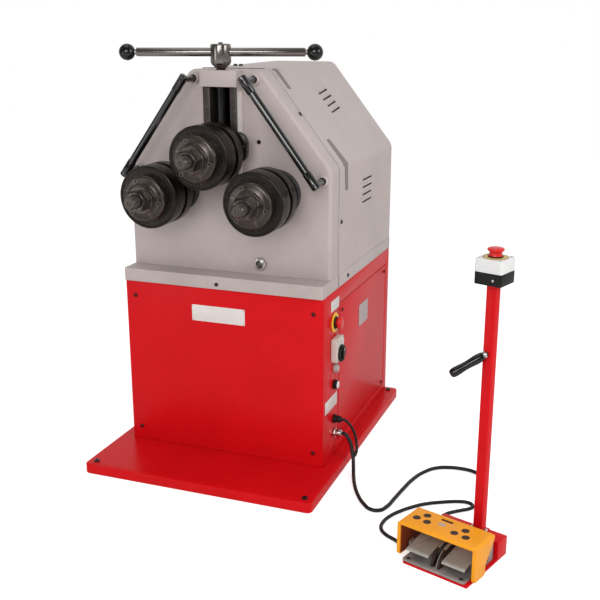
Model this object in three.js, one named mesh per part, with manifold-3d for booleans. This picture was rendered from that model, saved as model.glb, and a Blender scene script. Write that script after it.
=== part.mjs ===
// A three-roll ring roller on a sheet-metal cabinet, with a free-standing control stand and foot pedals.
// Millimetres, +X to the right, the front faces -Y, +Z up, origin under the middle of the base plate.
import * as THREE from "three";
import { mergeVertices } from "three/addons/utils/BufferGeometryUtils.js";
import Module from "manifold-3d";

const wasm = await Module();
wasm.setup();

// Clearances
const GAP = 0.3;
const RUNNING_GAP = 0.3;

// Base plate, a folded tray with a hat rail under its middle
const BASE_WIDTH = 730;
const BASE_DEPTH = 930;
const BASE_HEIGHT = 30;
const BASE_SHEET = 5;
const BASE_CORNER = 16;
const BASE_RAIL_WIDTH = 90;
const ANCHOR_HOLE = 14;
const ANCHOR_INSET = 28;

// Cabinet
const CABINET_WIDTH = 642;
const CABINET_DEPTH = 695;
const CABINET_HEIGHT = 525;
const CABINET_REAR_MARGIN = 10;
const CABINET_SHEET = 3;
const CABINET_LIP = 22;
const SIDE_PANEL_START = 141;
const SIDE_PANEL_REAR_MARGIN = 42;
const SIDE_PANEL_MARGIN = 30;

// Bed plate with the ledge in front of the head
const BED_THICKNESS = 39;
const LEDGE_OVERHANG = 8;
const BED_WELL_WIDTH = 200;
const BED_WELL_DEPTH = 195;
const BED_WELL_MARGIN = 4;

// Head: front frame, hood and rear frame
const HEAD_SETBACK = 58;
const HEAD_HEIGHT = 590;
const HEAD_SHOULDER = 320;
const HEAD_TOP_WIDTH = 218;
const HEAD_CORNER = 14;
const FRAME_THICKNESS = 40;
const FRAME_BEVEL = 6;
const HOOD_SHEET = 2.5;
const LOUVRE_COUNT = 4;
const LOUVRE_PITCH = 25;
const LOUVRE_LENGTH = 94;
const LOUVRE_OPENING = 5;
const LOUVRE_START = 254;
const LOUVRE_FIRST = 0.27;
const SIDE_LOUVRE_DROP = 75;
const REAR_FRAME_SETBACK = 235;
const REAR_FRAME_THICKNESS = 25;
const REAR_FRAME_INSET = 45;
const REAR_FOOT_DEPTH = 40;

// Gear train inside the head
const GEAR_MODULE = 5;
const GEAR_TEETH = 48;
const PINION_TEETH = 16;
const PRESSURE_ANGLE = (20 * Math.PI) / 180;
const GEAR_BACKLASH = 0.5;
const GEAR_WIDTH = 35;
const GEAR_HUB_WIDTH = 12;
const GEAR_SETBACK = 160;
const GEAR_WEB_RECESS = 8;

// Shafts, rolls and bearings
const LOWER_AXIS_HEIGHT = 246;
const UPPER_AXIS_RISE = 117;
const SHAFT_DIAMETER = 50;
const SHAFT_SHOULDER = 76;
const BEARING_DIAMETER = 60;
const THREAD_DIAMETER = 36;
const ROLL_DIAMETER = 178;
const ROLL_WIDTH = 108;
const ROLL_STANDOFF = 78;
const ROLL_FRONT_RING = 56;
const ROLL_GROOVE_WIDTH = 18;
const ROLL_GROOVE_DEPTH = 10;
const COLLAR_DIAMETER = 130;
const COLLAR_WIDTH = 34;
const COLLAR_BOSS = 84;
const NUT_WASHER = 76;
const NUT_WASHER_WIDTH = 9;
const NUT_SIZE = 56;
const NUT_HEIGHT = 30;
const THREAD_END = 30;
const HOUSING_FLANGE = 170;
const HOUSING_FLANGE_WIDTH = 16;
const HOUSING_NOSE = 124;
const HOUSING_BORE = 110;
const REAR_BEARING_DIAMETER = 96;
const REAR_SHAFT_DIAMETER = 45;

// Vertical slide that carries the upper roll, and its screw
const GUIDE_PROUD = 47;
const GUIDE_WIDTH = 112;
const GUIDE_BLOCK_HEIGHT = 50;
const GUIDE_BAR_WIDTH = 17;
const CHANNEL_WIDTH = 62;
const CHANNEL_BOTTOM = 268;
const SLIDE_CLEARANCE = 0.5;
const RAM_HEIGHT = 130;
const RAM_TAIL = 60;
const RAM_FLANGE_WIDTH = 176;
const RAM_FLANGE_THICKNESS = 18;
const KEEPER_OVERLAP = 22;
const KEEPER_THICKNESS = 18;
const UPPER_JOURNAL = 40;
const SCREW_DIAMETER = 28;
const SCREW_COLLAR = 42;
const SCREW_COLLAR_HEIGHT = 12;
const SCREW_NUT_DIAMETER = 38;
const HUB_DIAMETER = 58;
const HUB_HEIGHT = 53;
const HUB_TAPER = 16;
const HUB_CLEARANCE = 6;

// T-handle
const HANDLE_BAR_DIAMETER = 24;
const HANDLE_BALL_DIAMETER = 46;
const HANDLE_NECK_DIAMETER = 14;
const HANDLE_REACH = 263;
const HANDLE_REST_ANGLE = (18 * Math.PI) / 180;

// Side rods beside the rolls
const ROD_DIAMETER = 26;
const ROD_SLEEVE_DIAMETER = 31;
const ROD_SLEEVE_LENGTH = 54;
const ROD_OVERHANG = 16;
const ROD_STANDOFF = 80;
const ROD_POST_DIAMETER = 30;
const ROD_TOP_X = 92;
const ROD_TOP_DROP = 24;
const ROD_FOOT_X = 298;
const ROD_FOOT_DROP = 300;

// Gearbox and motor
const GEARBOX_WIDTH = 150;
const GEARBOX_DEPTH = 130;
const GEARBOX_HEIGHT = 190;
const GEARBOX_INPUT_DIAMETER = 94;
const GEARBOX_INPUT_DROP = 23;
const MOTOR_DIAMETER = 165;
const MOTOR_LENGTH = 300;
const MOTOR_CLEARANCE = 12;
const MOTOR_FINS = 8;
const FIN_HEIGHT = 7;

// Controls on the right side of the cabinet, all in one column
const CONTROL_SETBACK = 100;
const STOP_RISE = 93;
const STOP_DIAMETER = 40;
const STOP_STEM = 26;
const STOP_REACH = 25;
const SWITCH_HEIGHT = 365;
const SWITCH_SIZE = 66;
const SWITCH_BODY_REACH = 20;
const SWITCH_KNOB_DIAMETER = 50;
const SWITCH_KNOB_REACH = 18;
const SWITCH_PIN = 13;
const RESET_DROP = 51;
const RESET_DIAMETER = 27;
const RESET_REACH = 14;
const START_DROP = 52;
const START_DIAMETER = 29;
const START_REACH = 14;
const BUTTON_STEM = 16;
const BUTTON_SHANK = 14;
const BRANCH_GLAND_HEIGHT = 150;
const CONTROL_GLAND_HEIGHT = 105;
const GLAND_SIZE = 24;
const GLAND_REACH = 28;
const GLAND_SHANK = 16;
const SIGHT_GLASS_X = 104;
const SIGHT_GLASS_HEIGHT = 34;
const SIGHT_GLASS_SIZE = 34;

// Control stand
const STAND_X = 833;
const STAND_Y = -478;
const STAND_TURN = -0.32;
const TRAY_LEFT = 116;
const TRAY_RIGHT = 68;
const TRAY_FRONT = 182;
const TRAY_SHEET = 5;
const STAND_BOX_FRONT = 25;
const STAND_BOX_BACK = 22;
const STAND_BOX_HEIGHT = 52;
const STAND_BOX_WALL = 4;
const POST_SIZE = 25;
const POST_WALL = 2.5;
const POST_TOP = 716;
const POST_FOOT = 6;
const GRIP_HEIGHT = 541;
const GRIP_DIAMETER = 24;
const GRIP_LENGTH = 92;
const GRIP_STUD = 12;
const STATION_SIZE = 72;
const STATION_BASE_HEIGHT = 30;
const STATION_COVER_HEIGHT = 33;
const STATION_WALL = 3;
const MUSHROOM_DIAMETER = 42;
const MUSHROOM_STEM = 34;
const MUSHROOM_REACH = 24;
const MUSHROOM_CAP = 11;

// Foot pedals under their hood
const PEDAL_CENTRE = -30;
const HOOD_WIDTH = 214;
const HOOD_FRONT = 157;
const HOOD_BACK = 62;
const HOOD_FOOT_BACK = 106;
const HOOD_TOP = 100;
const HOOD_WALL = 6;
const HOOD_KNEE = 32;
const PEDAL_PLATE_THICKNESS = 6;
const PEDAL_PLATE_WIDTH = 178;
const PEDAL_PLATE_FRONT = 180;
const PEDAL_PLATE_BACK = 29;
const TAB_WIDTH = 22;
const PLATE_HOLE = 8;
const PLATE_HOLE_INSET = 11;
const EAR_FOOT = 24;
const EAR_HEAD = 16;
const FIN_TOE = 26;
const FIN_RISE = 46;
const FIN_THICKNESS = 6;
const FIN_SPACING = 18;
const PEDAL_WIDTH = 62;
const PEDAL_SPACING = 102;
const PEDAL_SHEET = 4;
const PEDAL_PIVOT_Y = -44;
const PEDAL_PIVOT_HEIGHT = 50;
const PEDAL_PIN = 8;
const PEDAL_EYE = 16;
const PEDAL_TOE = 162;
const PEDAL_TOE_HEIGHT = 46;
const EAR_THICKNESS = 5;
const SLOT_WIDTH = 30;

// Leads
const CONTROL_LEAD_DIAMETER = 11;
const BRANCH_LEAD_DIAMETER = 8;
const PEDAL_LEAD_DIAMETER = 10;

// Smoothness of turned and wound shapes
const FINE = 20;
const MEDIUM = 12;
const COARSE = 10;
const CORNER_STEPS = 2;

// Places worked out from the sizes above
const baseTop = BASE_HEIGHT;
const cabinetRear = BASE_DEPTH / 2 - CABINET_REAR_MARGIN;
const cabinetFront = cabinetRear - CABINET_DEPTH;
const cabinetTop = baseTop + CABINET_HEIGHT;
const cabinetSide = CABINET_WIDTH / 2;
const bedTop = cabinetTop + BED_THICKNESS;
const faceY = cabinetFront + HEAD_SETBACK;
const seamY = faceY + FRAME_THICKNESS;
const shoulderZ = bedTop + HEAD_SHOULDER;
const headTop = bedTop + HEAD_HEIGHT;
const lowerAxisX = (GEAR_MODULE * (GEAR_TEETH + PINION_TEETH)) / 2;
const lowerAxisZ = bedTop + LOWER_AXIS_HEIGHT;
const upperAxisZ = lowerAxisZ + UPPER_AXIS_RISE;
const rollRear = faceY - ROLL_STANDOFF;
const rollFront = rollRear - ROLL_WIDTH;
const collarFront = rollFront - COLLAR_WIDTH;
const nutFront = collarFront - NUT_WASHER_WIDTH - NUT_HEIGHT;
const shaftTip = nutFront - THREAD_END;
const gearFront = seamY + GEAR_SETBACK;
const gearRear = gearFront + GEAR_WIDTH;
const rearFrameY = seamY + REAR_FRAME_SETBACK;
const rearFrameBack = rearFrameY + REAR_FRAME_THICKNESS;
const guideFront = faceY - GUIDE_PROUD;
const blockBottom = headTop - GUIDE_BLOCK_HEIGHT;
const channelBottom = bedTop + CHANNEL_BOTTOM;
const screwY = faceY - GUIDE_PROUD / 2;
const ramWidth = CHANNEL_WIDTH - 2 * SLIDE_CLEARANCE;
const ramTop = upperAxisZ + RAM_HEIGHT / 2;
const ramBottom = upperAxisZ - RAM_HEIGHT / 2;
const ramBack = seamY + RAM_TAIL;
const hubBottom = headTop + HUB_CLEARANCE;
const barZ = hubBottom + HUB_TAPER + HUB_HEIGHT / 2;
const controlY = cabinetFront + CONTROL_SETBACK;
const stopZ = SWITCH_HEIGHT + STOP_RISE;
const resetZ = SWITCH_HEIGHT - RESET_DROP;
const startZ = resetZ - START_DROP;
const coverTop = POST_TOP + STATION_BASE_HEIGHT + STATION_COVER_HEIGHT;

// Finishes
const finish = (color, roughness, metalness) =>
  new THREE.MeshStandardMaterial({ color, roughness, metalness });
const redPaint = finish(0xc4141a, 0.3, 0);
const greyPaint = finish(0xaaa5a2, 0.5, 0);
const burnishedSteel = finish(0x2b2927, 0.35, 0.8);
const brightSteel = finish(0xb4b2ae, 0.3, 0.9);
const castIron = finish(0x4a4a4c, 0.6, 0.4);
const bronze = finish(0x9c7440, 0.4, 0.8);
const blackPlastic = finish(0x141414, 0.45, 0);
const whitePlastic = finish(0xe8e8e6, 0.4, 0);
const greyPlastic = finish(0xb9bfbf, 0.45, 0);
const redPlastic = finish(0xc01c18, 0.35, 0);
const yellowPlastic = finish(0xf2a71b, 0.45, 0);
const zincPlate = finish(0x8f8c89, 0.4, 0.7);
const cableJacket = finish(0x101312, 0.55, 0);

// Radius of a faceted hole whose flats clear a round pin of the given diameter as it turns.
const clearOf = (diameter, sides) => (diameter / 2 + RUNNING_GAP) / Math.cos(Math.PI / sides);

// A closed geometry as a solid, with its shared vertices merged and its faces turned outwards.
function toSolid(geometry) {
  const bare = geometry.clone();
  bare.deleteAttribute("normal");
  bare.deleteAttribute("uv");
  const merged = mergeVertices(bare, 1e-4);
  const vertProperties = new Float32Array(merged.attributes.position.array);
  const triVerts = new Uint32Array(merged.index.array);
  const made = new wasm.Manifold(new wasm.Mesh({ numProp: 3, vertProperties, triVerts }));
  if (made.volume() > 0) return made;
  for (let i = 0; i < triVerts.length; i += 3) {
    [triVerts[i + 1], triVerts[i + 2]] = [triVerts[i + 2], triVerts[i + 1]];
  }
  return new wasm.Manifold(new wasm.Mesh({ numProp: 3, vertProperties, triVerts }));
}

// A solid as a geometry with flat-shaded faces.
function toGeometry(made) {
  const { vertProperties, triVerts, numProp, numVert } = made.getMesh();
  const position = new Float32Array(numVert * 3);
  for (let i = 0; i < numVert; i += 1) {
    position.set(vertProperties.subarray(i * numProp, i * numProp + 3), i * 3);
  }
  const geometry = new THREE.BufferGeometry();
  geometry.setAttribute("position", new THREE.BufferAttribute(position, 3));
  geometry.setIndex(new THREE.BufferAttribute(new Uint32Array(triVerts), 1));
  const flat = geometry.toNonIndexed();
  flat.computeVertexNormals();
  return flat;
}

const join = (...parts) => toGeometry(parts.map(toSolid).reduce((a, b) => a.add(b)));

const cut = (body, ...tools) =>
  toGeometry(tools.map(toSolid).reduce((a, b) => a.subtract(b), toSolid(body)));

// A box between two opposite corners.
function box(x0, x1, y0, y1, z0, z1) {
  return new THREE.BoxGeometry(x1 - x0, y1 - y0, z1 - z0).translate(
    (x0 + x1) / 2,
    (y0 + y1) / 2,
    (z0 + z1) / 2,
  );
}

// A turned piece about an axis parallel to Y: the profile is a list of [radius, y].
function turnedY(profile, x, z, sides = MEDIUM) {
  const points = profile.map(([r, y]) => new THREE.Vector2(r, y));
  return new THREE.LatheGeometry(points, sides).translate(x, 0, z);
}

// The same about a vertical axis: the profile is a list of [radius, z].
function turnedZ(profile, x, y, sides = MEDIUM) {
  return turnedY(profile, 0, 0, sides).rotateX(Math.PI / 2).translate(x, y, 0);
}

// The same about an axis parallel to X: the profile is a list of [radius, x].
function turnedX(profile, y, z, sides = MEDIUM) {
  return turnedY(profile, 0, 0, sides).rotateZ(-Math.PI / 2).translate(0, y, z);
}

// A plain round bar's profile, and a tube's, from start to end along their axis.
const bar = (radius, start, end) => [[0, start], [radius, start], [radius, end], [0, end]];
const tube = (inner, outer, start, end) => [
  [inner, start],
  [outer, start],
  [outer, end],
  [inner, end],
  [inner, start],
];

// A shape through the given corners, each rounded by the same size.
function roundedPolygon(corners, radius) {
  const shape = new THREE.Shape();
  corners.forEach(([x, y], i) => {
    const corner = new THREE.Vector2(x, y);
    const before = new THREE.Vector2(...corners[(i + corners.length - 1) % corners.length]);
    const after = new THREE.Vector2(...corners[(i + 1) % corners.length]);
    const start = corner.clone().add(before.sub(corner).setLength(radius));
    const end = corner.clone().add(after.sub(corner).setLength(radius));
    if (i === 0) shape.moveTo(start.x, start.y);
    else shape.lineTo(start.x, start.y);
    shape.quadraticCurveTo(corner.x, corner.y, end.x, end.y);
  });
  shape.closePath();
  return shape;
}

const rectangle = (x0, x1, y0, y1) => [[x0, y0], [x1, y0], [x1, y1], [x0, y1]];

// A plain polygon as a shape.
const polygon = (corners) => new THREE.Shape(corners.map(([x, y]) => new THREE.Vector2(x, y)));

// A plate of a shape drawn in X and Y, between two heights.
function plateZ(shape, z0, z1, options = {}) {
  const settings = { depth: z1 - z0, bevelEnabled: false, curveSegments: CORNER_STEPS, ...options };
  return new THREE.ExtrudeGeometry(shape, settings).translate(0, 0, z0);
}

// A plate of a shape drawn in X and Z, between two places along Y.
function plateY(shape, y0, y1, options = {}) {
  return plateZ(shape, 0, y1 - y0, options).rotateX(Math.PI / 2).translate(0, y1, 0);
}

// A plate of a shape drawn in Y and Z, between two places along X.
function plateX(shape, x0, x1, options = {}) {
  const turn = new THREE.Matrix4().makeBasis(
    new THREE.Vector3(0, 1, 0),
    new THREE.Vector3(0, 0, 1),
    new THREE.Vector3(1, 0, 0),
  );
  return plateZ(shape, x0, x1, options).applyMatrix4(turn);
}

// The corners of a regular polygon by its width across flats.
function acrossFlats(size, sides, turn = 0) {
  const radius = size / 2 / Math.cos(Math.PI / sides);
  return Array.from({ length: sides }, (_, i) => {
    const angle = turn + (2 * Math.PI * i) / sides;
    return [radius * Math.cos(angle), radius * Math.sin(angle)];
  });
}

// Outline of the head, drawn in X and Z and moved inwards by an inset at its sides, slopes and top.
function headOutline(inset, bottom) {
  const side = CABINET_WIDTH / 2;
  const top = HEAD_TOP_WIDTH / 2;
  const rise = headTop - shoulderZ;
  const run = side - top;
  const slope = Math.hypot(rise, run);
  const x1 = side - inset;
  const z1 = shoulderZ - (inset * (slope - rise)) / run;
  const x2 = top - (inset * (slope - run)) / rise;
  const z2 = headTop - inset;
  return [[-x1, bottom], [x1, bottom], [x1, z1], [x2, z2], [-x2, z2], [-x1, z1]];
}

// An involute spur gear's outline, drawn in X and Z about the origin, with a tooth at the turn angle.
function gearShape(teeth, turn) {
  const pitch = (GEAR_MODULE * teeth) / 2;
  const base = pitch * Math.cos(PRESSURE_ANGLE);
  const root = pitch - 1.25 * GEAR_MODULE;
  const tip = pitch + GEAR_MODULE;
  const involute = (angle) => Math.tan(angle) - angle;
  const halfTooth = Math.PI / (2 * teeth) - GEAR_BACKLASH / 2 / pitch;
  const halfWidth = (radius) =>
    halfTooth + involute(PRESSURE_ANGLE) - involute(Math.acos(Math.min(1, base / radius)));
  const start = Math.max(base, root);
  const flank = [start, tip];
  const points = [];
  for (let i = 0; i < teeth; i += 1) {
    const middle = turn + (2 * Math.PI * i) / teeth;
    const at = (radius, angle) => {
      return [radius * Math.cos(middle + angle), radius * Math.sin(middle + angle)];
    };
    if (start > root) points.push(at(root, -halfWidth(start)));
    flank.forEach((radius) => points.push(at(radius, -halfWidth(radius))));
    [...flank].reverse().forEach((radius) => points.push(at(radius, halfWidth(radius))));
    if (start > root) points.push(at(root, halfWidth(start)));
  }
  return polygon(points);
}

// A place given in the stand's own turned frame, in the object's frame.
function fromStand(x, y, z) {
  const [c, s] = [Math.cos(STAND_TURN), Math.sin(STAND_TURN)];
  return [STAND_X + x * c - y * s, STAND_Y + x * s + y * c, z];
}

// A lead: a round tube along hand-chosen points.
function lead(points, diameter, steps, sides) {
  const places = points.map((point) => new THREE.Vector3(...point));
  const curve = new THREE.CatmullRomCurve3(places, false, "centripetal");
  const section = polygon(
    Array.from({ length: sides }, (_, i) => {
      const angle = (2 * Math.PI * i) / sides;
      return [(diameter / 2) * Math.cos(angle), (diameter / 2) * Math.sin(angle)];
    }),
  );
  return new THREE.ExtrudeGeometry(section, { steps, bevelEnabled: false, extrudePath: curve });
}

const root = new THREE.Group();

function add(group, name, geometry, material) {
  const mesh = new THREE.Mesh(geometry, material);
  mesh.name = name;
  group.add(mesh);
  return mesh;
}

// Base plate: sheet with a folded skirt, open underneath, with a hat rail that also stands on the floor.
function basePlate() {
  const x = BASE_WIDTH / 2;
  const y = BASE_DEPTH / 2;
  const inner = [x - BASE_SHEET, y - BASE_SHEET];
  const innerCorners = rectangle(-inner[0], inner[0], -inner[1], inner[1]);
  const outer = roundedPolygon(rectangle(-x, x, -y, y), BASE_CORNER);
  const hollow = roundedPolygon(innerCorners, BASE_CORNER - BASE_SHEET);
  const rail = BASE_RAIL_WIDTH / 2;
  const tray = cut(plateZ(outer, 0, baseTop), plateZ(hollow, -1, baseTop - BASE_SHEET));
  const rails = [-1, 0, 1].map((side) => {
    const middle = (side * CABINET_WIDTH) / 2 - side * rail;
    return box(middle - rail, middle + rail, -inner[1] - 1, inner[1] + 1, 0, baseTop - BASE_SHEET + 1);
  });
  const holes = [];
  for (const sx of [-1, 1]) {
    for (const sy of [-1, 1]) {
      const place = [sx * (x - ANCHOR_INSET), sy * (y - ANCHOR_INSET)];
      holes.push(turnedZ(bar(ANCHOR_HOLE / 2, -1, baseTop + 1), ...place, COARSE));
    }
  }
  return cut(join(tray, ...rails), ...holes);
}

// Cabinet: a sheet box with a front window behind the front panel and a side window for the side panel.
function cabinetShell() {
  const x = cabinetSide;
  const front = cabinetFront + CABINET_SHEET + GAP;
  const s = CABINET_SHEET;
  const z0 = baseTop + GAP;
  const z1 = cabinetTop - GAP;
  const inside = box(-x + s, x - s, front + s, cabinetRear - s, z0 - 1, z1 + 1);
  const shell = cut(box(-x, x, front, cabinetRear, z0, z1), inside);
  const edge = CABINET_LIP;
  const window = box(-x + edge, x - edge, front - 1, front + s + 1, z0 + edge, z1 - edge);
  const panel = sidePanelBox(GAP * 2);
  const rebate = box(x - s - 1, x + 1, panel.y0, panel.y1, panel.z0, panel.z1);
  const back = box(x - 2 * s - GAP, x - s - GAP, panel.y0 - s, panel.y1 + s, panel.z0 - s, panel.z1 + s);
  const joint = box(x - s - GAP - 1, x - s + 1, panel.y0 - s, panel.y1 + s, panel.z0 - s, panel.z1 + s);
  const lip = CABINET_LIP / 2;
  const opening = box(x - 3 * s, x + 1, panel.y0 + lip, panel.y1 - lip, panel.z0 + lip, panel.z1 - lip);
  const holes = [
    [stopZ, STOP_STEM],
    [resetZ, BUTTON_STEM],
    [startZ, BUTTON_STEM],
    [BRANCH_GLAND_HEIGHT, GLAND_SHANK],
    [CONTROL_GLAND_HEIGHT, GLAND_SHANK],
  ].map(([height, size]) => {
    return turnedX(bar(clearOf(size, COARSE), x - 2 * s, x + 1), controlY, height, COARSE);
  });
  const framed = cut(join(shell, back), window, rebate, opening);
  return cut(join(framed, cut(joint, rebate, opening)), ...holes);
}

// The side panel's place in the right wall, made larger all round by a margin.
function sidePanelBox(margin) {
  return {
    y0: cabinetFront + SIDE_PANEL_START - margin,
    y1: cabinetRear - SIDE_PANEL_REAR_MARGIN + margin,
    z0: baseTop + SIDE_PANEL_MARGIN - margin,
    z1: cabinetTop - SIDE_PANEL_MARGIN - 20 + margin,
  };
}

function addCabinet() {
  add(root, "base_plate", basePlate(), redPaint);
  add(root, "cabinet_shell", cabinetShell(), redPaint);
  const frontPanel = box(
    -cabinetSide,
    cabinetSide,
    cabinetFront,
    cabinetFront + CABINET_SHEET,
    baseTop + GAP,
    cabinetTop - GAP,
  );
  add(root, "front_panel", frontPanel, redPaint);
  const p = sidePanelBox(0);
  const sidePanel = box(cabinetSide - CABINET_SHEET + GAP, cabinetSide, p.y0, p.y1, p.z0, p.z1);
  add(root, "side_panel", sidePanel, redPaint);
  const bed = plateZ(
    roundedPolygon(
      rectangle(-cabinetSide, cabinetSide, cabinetFront - LEDGE_OVERHANG, cabinetRear),
      5,
    ),
    cabinetTop,
    bedTop,
  );
  const wellFront = rearFrameBack + BED_WELL_MARGIN;
  const well = box(
    -BED_WELL_WIDTH / 2,
    BED_WELL_WIDTH / 2,
    wellFront,
    wellFront + BED_WELL_DEPTH,
    cabinetTop - 1,
    bedTop + 1,
  );
  add(root, "bed_plate", cut(bed, well), greyPaint);
}

// Front frame: a thick cast plate with the slide's channel, two bearing bores and rounded front edges.
function frontFrame() {
  const bottom = bedTop + GAP;
  const half = FRAME_THICKNESS / 2;
  const bevelled = plateY(
    roundedPolygon(headOutline(FRAME_BEVEL, bottom + FRAME_BEVEL), HEAD_CORNER),
    faceY + FRAME_BEVEL,
    faceY + half,
    { bevelEnabled: true, bevelSize: FRAME_BEVEL, bevelThickness: FRAME_BEVEL, bevelSegments: 2 },
  );
  const rear = plateY(roundedPolygon(headOutline(0, bottom), HEAD_CORNER), faceY + half, seamY - GAP);
  const foot = box(-cabinetSide, cabinetSide, faceY, faceY + half + 1, bottom, bottom + 2 * HEAD_CORNER);
  const channel = CHANNEL_WIDTH / 2;
  const slot = box(-channel, channel, faceY - 1, seamY + 1, channelBottom, blockBottom);
  const bores = [-1, 1].map((side) =>
    turnedY(bar(HOUSING_BORE / 2, faceY - 1, seamY + 1), side * lowerAxisX, lowerAxisZ, FINE),
  );
  return cut(join(bevelled, rear, foot), slot, ...bores);
}

// Slide housing: the nut block and the two guide bars that stand proud of the face.
function slideHousing() {
  const width = GUIDE_WIDTH / 2;
  const channel = CHANNEL_WIDTH / 2;
  const back = faceY - GAP;
  const block = box(-width, width, guideFront, back, blockBottom, headTop);
  const bars = [-1, 1].map((side) => {
    const edges = [side * channel, side * (channel + GUIDE_BAR_WIDTH)].sort((a, b) => a - b);
    return box(edges[0], edges[1], guideFront, back, channelBottom, blockBottom + 1);
  });
  const seat = turnedZ(bar(SCREW_NUT_DIAMETER / 2 + RUNNING_GAP, blockBottom - 1, headTop + 1), 0, screwY);
  return cut(join(block, ...bars), seat);
}

// Hood: a folded sheet shell with its rear wall, open towards the front frame, with louvres.
function headHood() {
  const bottom = bedTop + GAP;
  const outer = plateY(roundedPolygon(headOutline(0, bottom), HEAD_CORNER), seamY, cabinetRear);
  const corner = HEAD_CORNER - HOOD_SHEET;
  const inner = plateY(
    roundedPolygon(headOutline(HOOD_SHEET, bottom - 60), corner),
    seamY - 1,
    cabinetRear - HOOD_SHEET,
  );
  const wall = cabinetSide - HOOD_SHEET;
  const foot = cut(
    box(-cabinetSide, cabinetSide, seamY, cabinetRear, bottom, bottom + 2 * HEAD_CORNER),
    box(-wall, wall, seamY - 1, cabinetRear - HOOD_SHEET, bottom - 1, shoulderZ),
  );
  const shell = join(cut(outer, inner), foot);
  return cut(shell, ...louvres());
}

// The louvre slots: one row down each slope and one down each side wall.
function louvres() {
  const top = HEAD_TOP_WIDTH / 2;
  const run = cabinetSide - top;
  const rise = headTop - shoulderZ;
  const length = Math.hypot(run, rise);
  const angle = Math.atan2(rise, -run);
  const y0 = seamY + LOUVRE_START;
  const y1 = y0 + LOUVRE_LENGTH;
  const reach = 2 * HOOD_SHEET;
  const slots = [];
  for (const side of [-1, 1]) {
    for (let i = 0; i < LOUVRE_COUNT; i += 1) {
      const along = length * LOUVRE_FIRST + i * LOUVRE_PITCH;
      const slot = box(-LOUVRE_OPENING / 2, LOUVRE_OPENING / 2, y0, y1, -reach, reach);
      slot.rotateY(Math.PI / 2 - angle + Math.PI / 2);
      slot.translate(top + (along * run) / length, 0, headTop - (along * rise) / length);
      if (side < 0) slot.scale(-1, 1, 1);
      slots.push(slot);
      const z = shoulderZ - SIDE_LOUVRE_DROP - i * LOUVRE_PITCH;
      const x = side * cabinetSide;
      slots.push(box(x - reach, x + reach, y0, y1, z, z + LOUVRE_OPENING));
    }
  }
  return slots;
}

// Rear frame: an inner plate that holds the rear bearings, the gearbox and the pinion shaft.
function rearFrame() {
  const shape = roundedPolygon(headOutline(REAR_FRAME_INSET, bedTop + GAP), HEAD_CORNER);
  const plate = plateY(shape, rearFrameY, rearFrameBack);
  const seat = bar(REAR_BEARING_DIAMETER / 2, rearFrameY - 1, rearFrameBack + 1);
  const bores = [-1, 1].map((side) => turnedY(seat, side * lowerAxisX, lowerAxisZ, FINE));
  const centre = turnedY(bar(SHAFT_DIAMETER / 2 + 5, rearFrameY - 1, rearFrameBack + 1), 0, lowerAxisZ);
  const foot = box(
    -cabinetSide + REAR_FRAME_INSET,
    cabinetSide - REAR_FRAME_INSET,
    rearFrameY - REAR_FOOT_DEPTH,
    rearFrameY + 1,
    bedTop + GAP,
    bedTop + GAP + REAR_FRAME_THICKNESS,
  );
  return cut(join(plate, foot), ...bores, centre);
}

function addHead() {
  add(root, "front_frame", frontFrame(), greyPaint);
  add(root, "slide_housing", slideHousing(), greyPaint);
  add(root, "head_hood", headHood(), greyPaint);
  add(root, "rear_frame", rearFrame(), castIron);
  const nut = tube(clearOf(SCREW_DIAMETER, MEDIUM), SCREW_NUT_DIAMETER / 2, blockBottom, headTop);
  add(root, "screw_nut", turnedZ(nut, 0, screwY), bronze);
  const sight = plateY(polygon(acrossFlats(SIGHT_GLASS_SIZE, 6)), faceY - 12, faceY - GAP);
  const lens = turnedY(bar(SIGHT_GLASS_SIZE * 0.3, faceY - 13, faceY - 9), 0, 0, COARSE);
  const sightGlass = cut(sight, lens).translate(SIGHT_GLASS_X, 0, bedTop + SIGHT_GLASS_HEIGHT);
  add(root, "oil_sight_glass", sightGlass, brightSteel);
}

// A bearing housing on the face: flange, spigot in the frame's bore and nose towards the roll.
function bearingHousing(side) {
  const nose = rollRear + 16;
  const bore = clearOf(BEARING_DIAMETER, FINE);
  const profile = [
    [bore, nose],
    [HOUSING_NOSE / 2, nose],
    [HOUSING_NOSE / 2, faceY - HOUSING_FLANGE_WIDTH],
    [HOUSING_FLANGE / 2, faceY - HOUSING_FLANGE_WIDTH],
    [HOUSING_FLANGE / 2, faceY - GAP],
    [HOUSING_BORE / 2 - GAP, faceY - GAP],
    [HOUSING_BORE / 2 - GAP, seamY + 8],
    [bore, seamY + 8],
    [bore, nose],
  ];
  return turnedY(profile, side * lowerAxisX, lowerAxisZ, FINE);
}

// A lower shaft from its threaded tip to its tail in the rear bearing.
function lowerShaft(side) {
  const shoulder = rollRear + GAP;
  const profile = [
    [0, shaftTip],
    [THREAD_DIAMETER / 2 - 2, shaftTip],
    [THREAD_DIAMETER / 2, shaftTip + 2],
    [THREAD_DIAMETER / 2, collarFront],
    [SHAFT_DIAMETER / 2, collarFront],
    [SHAFT_DIAMETER / 2, shoulder],
    [SHAFT_SHOULDER / 2, shoulder],
    [SHAFT_SHOULDER / 2, shoulder + 13],
    [BEARING_DIAMETER / 2, shoulder + 13],
    [BEARING_DIAMETER / 2, gearRear],
    [REAR_SHAFT_DIAMETER / 2, gearRear],
    [REAR_SHAFT_DIAMETER / 2, rearFrameBack + 6],
    [0, rearFrameBack + 6],
  ];
  return turnedY(profile, side * lowerAxisX, lowerAxisZ, MEDIUM);
}

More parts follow.
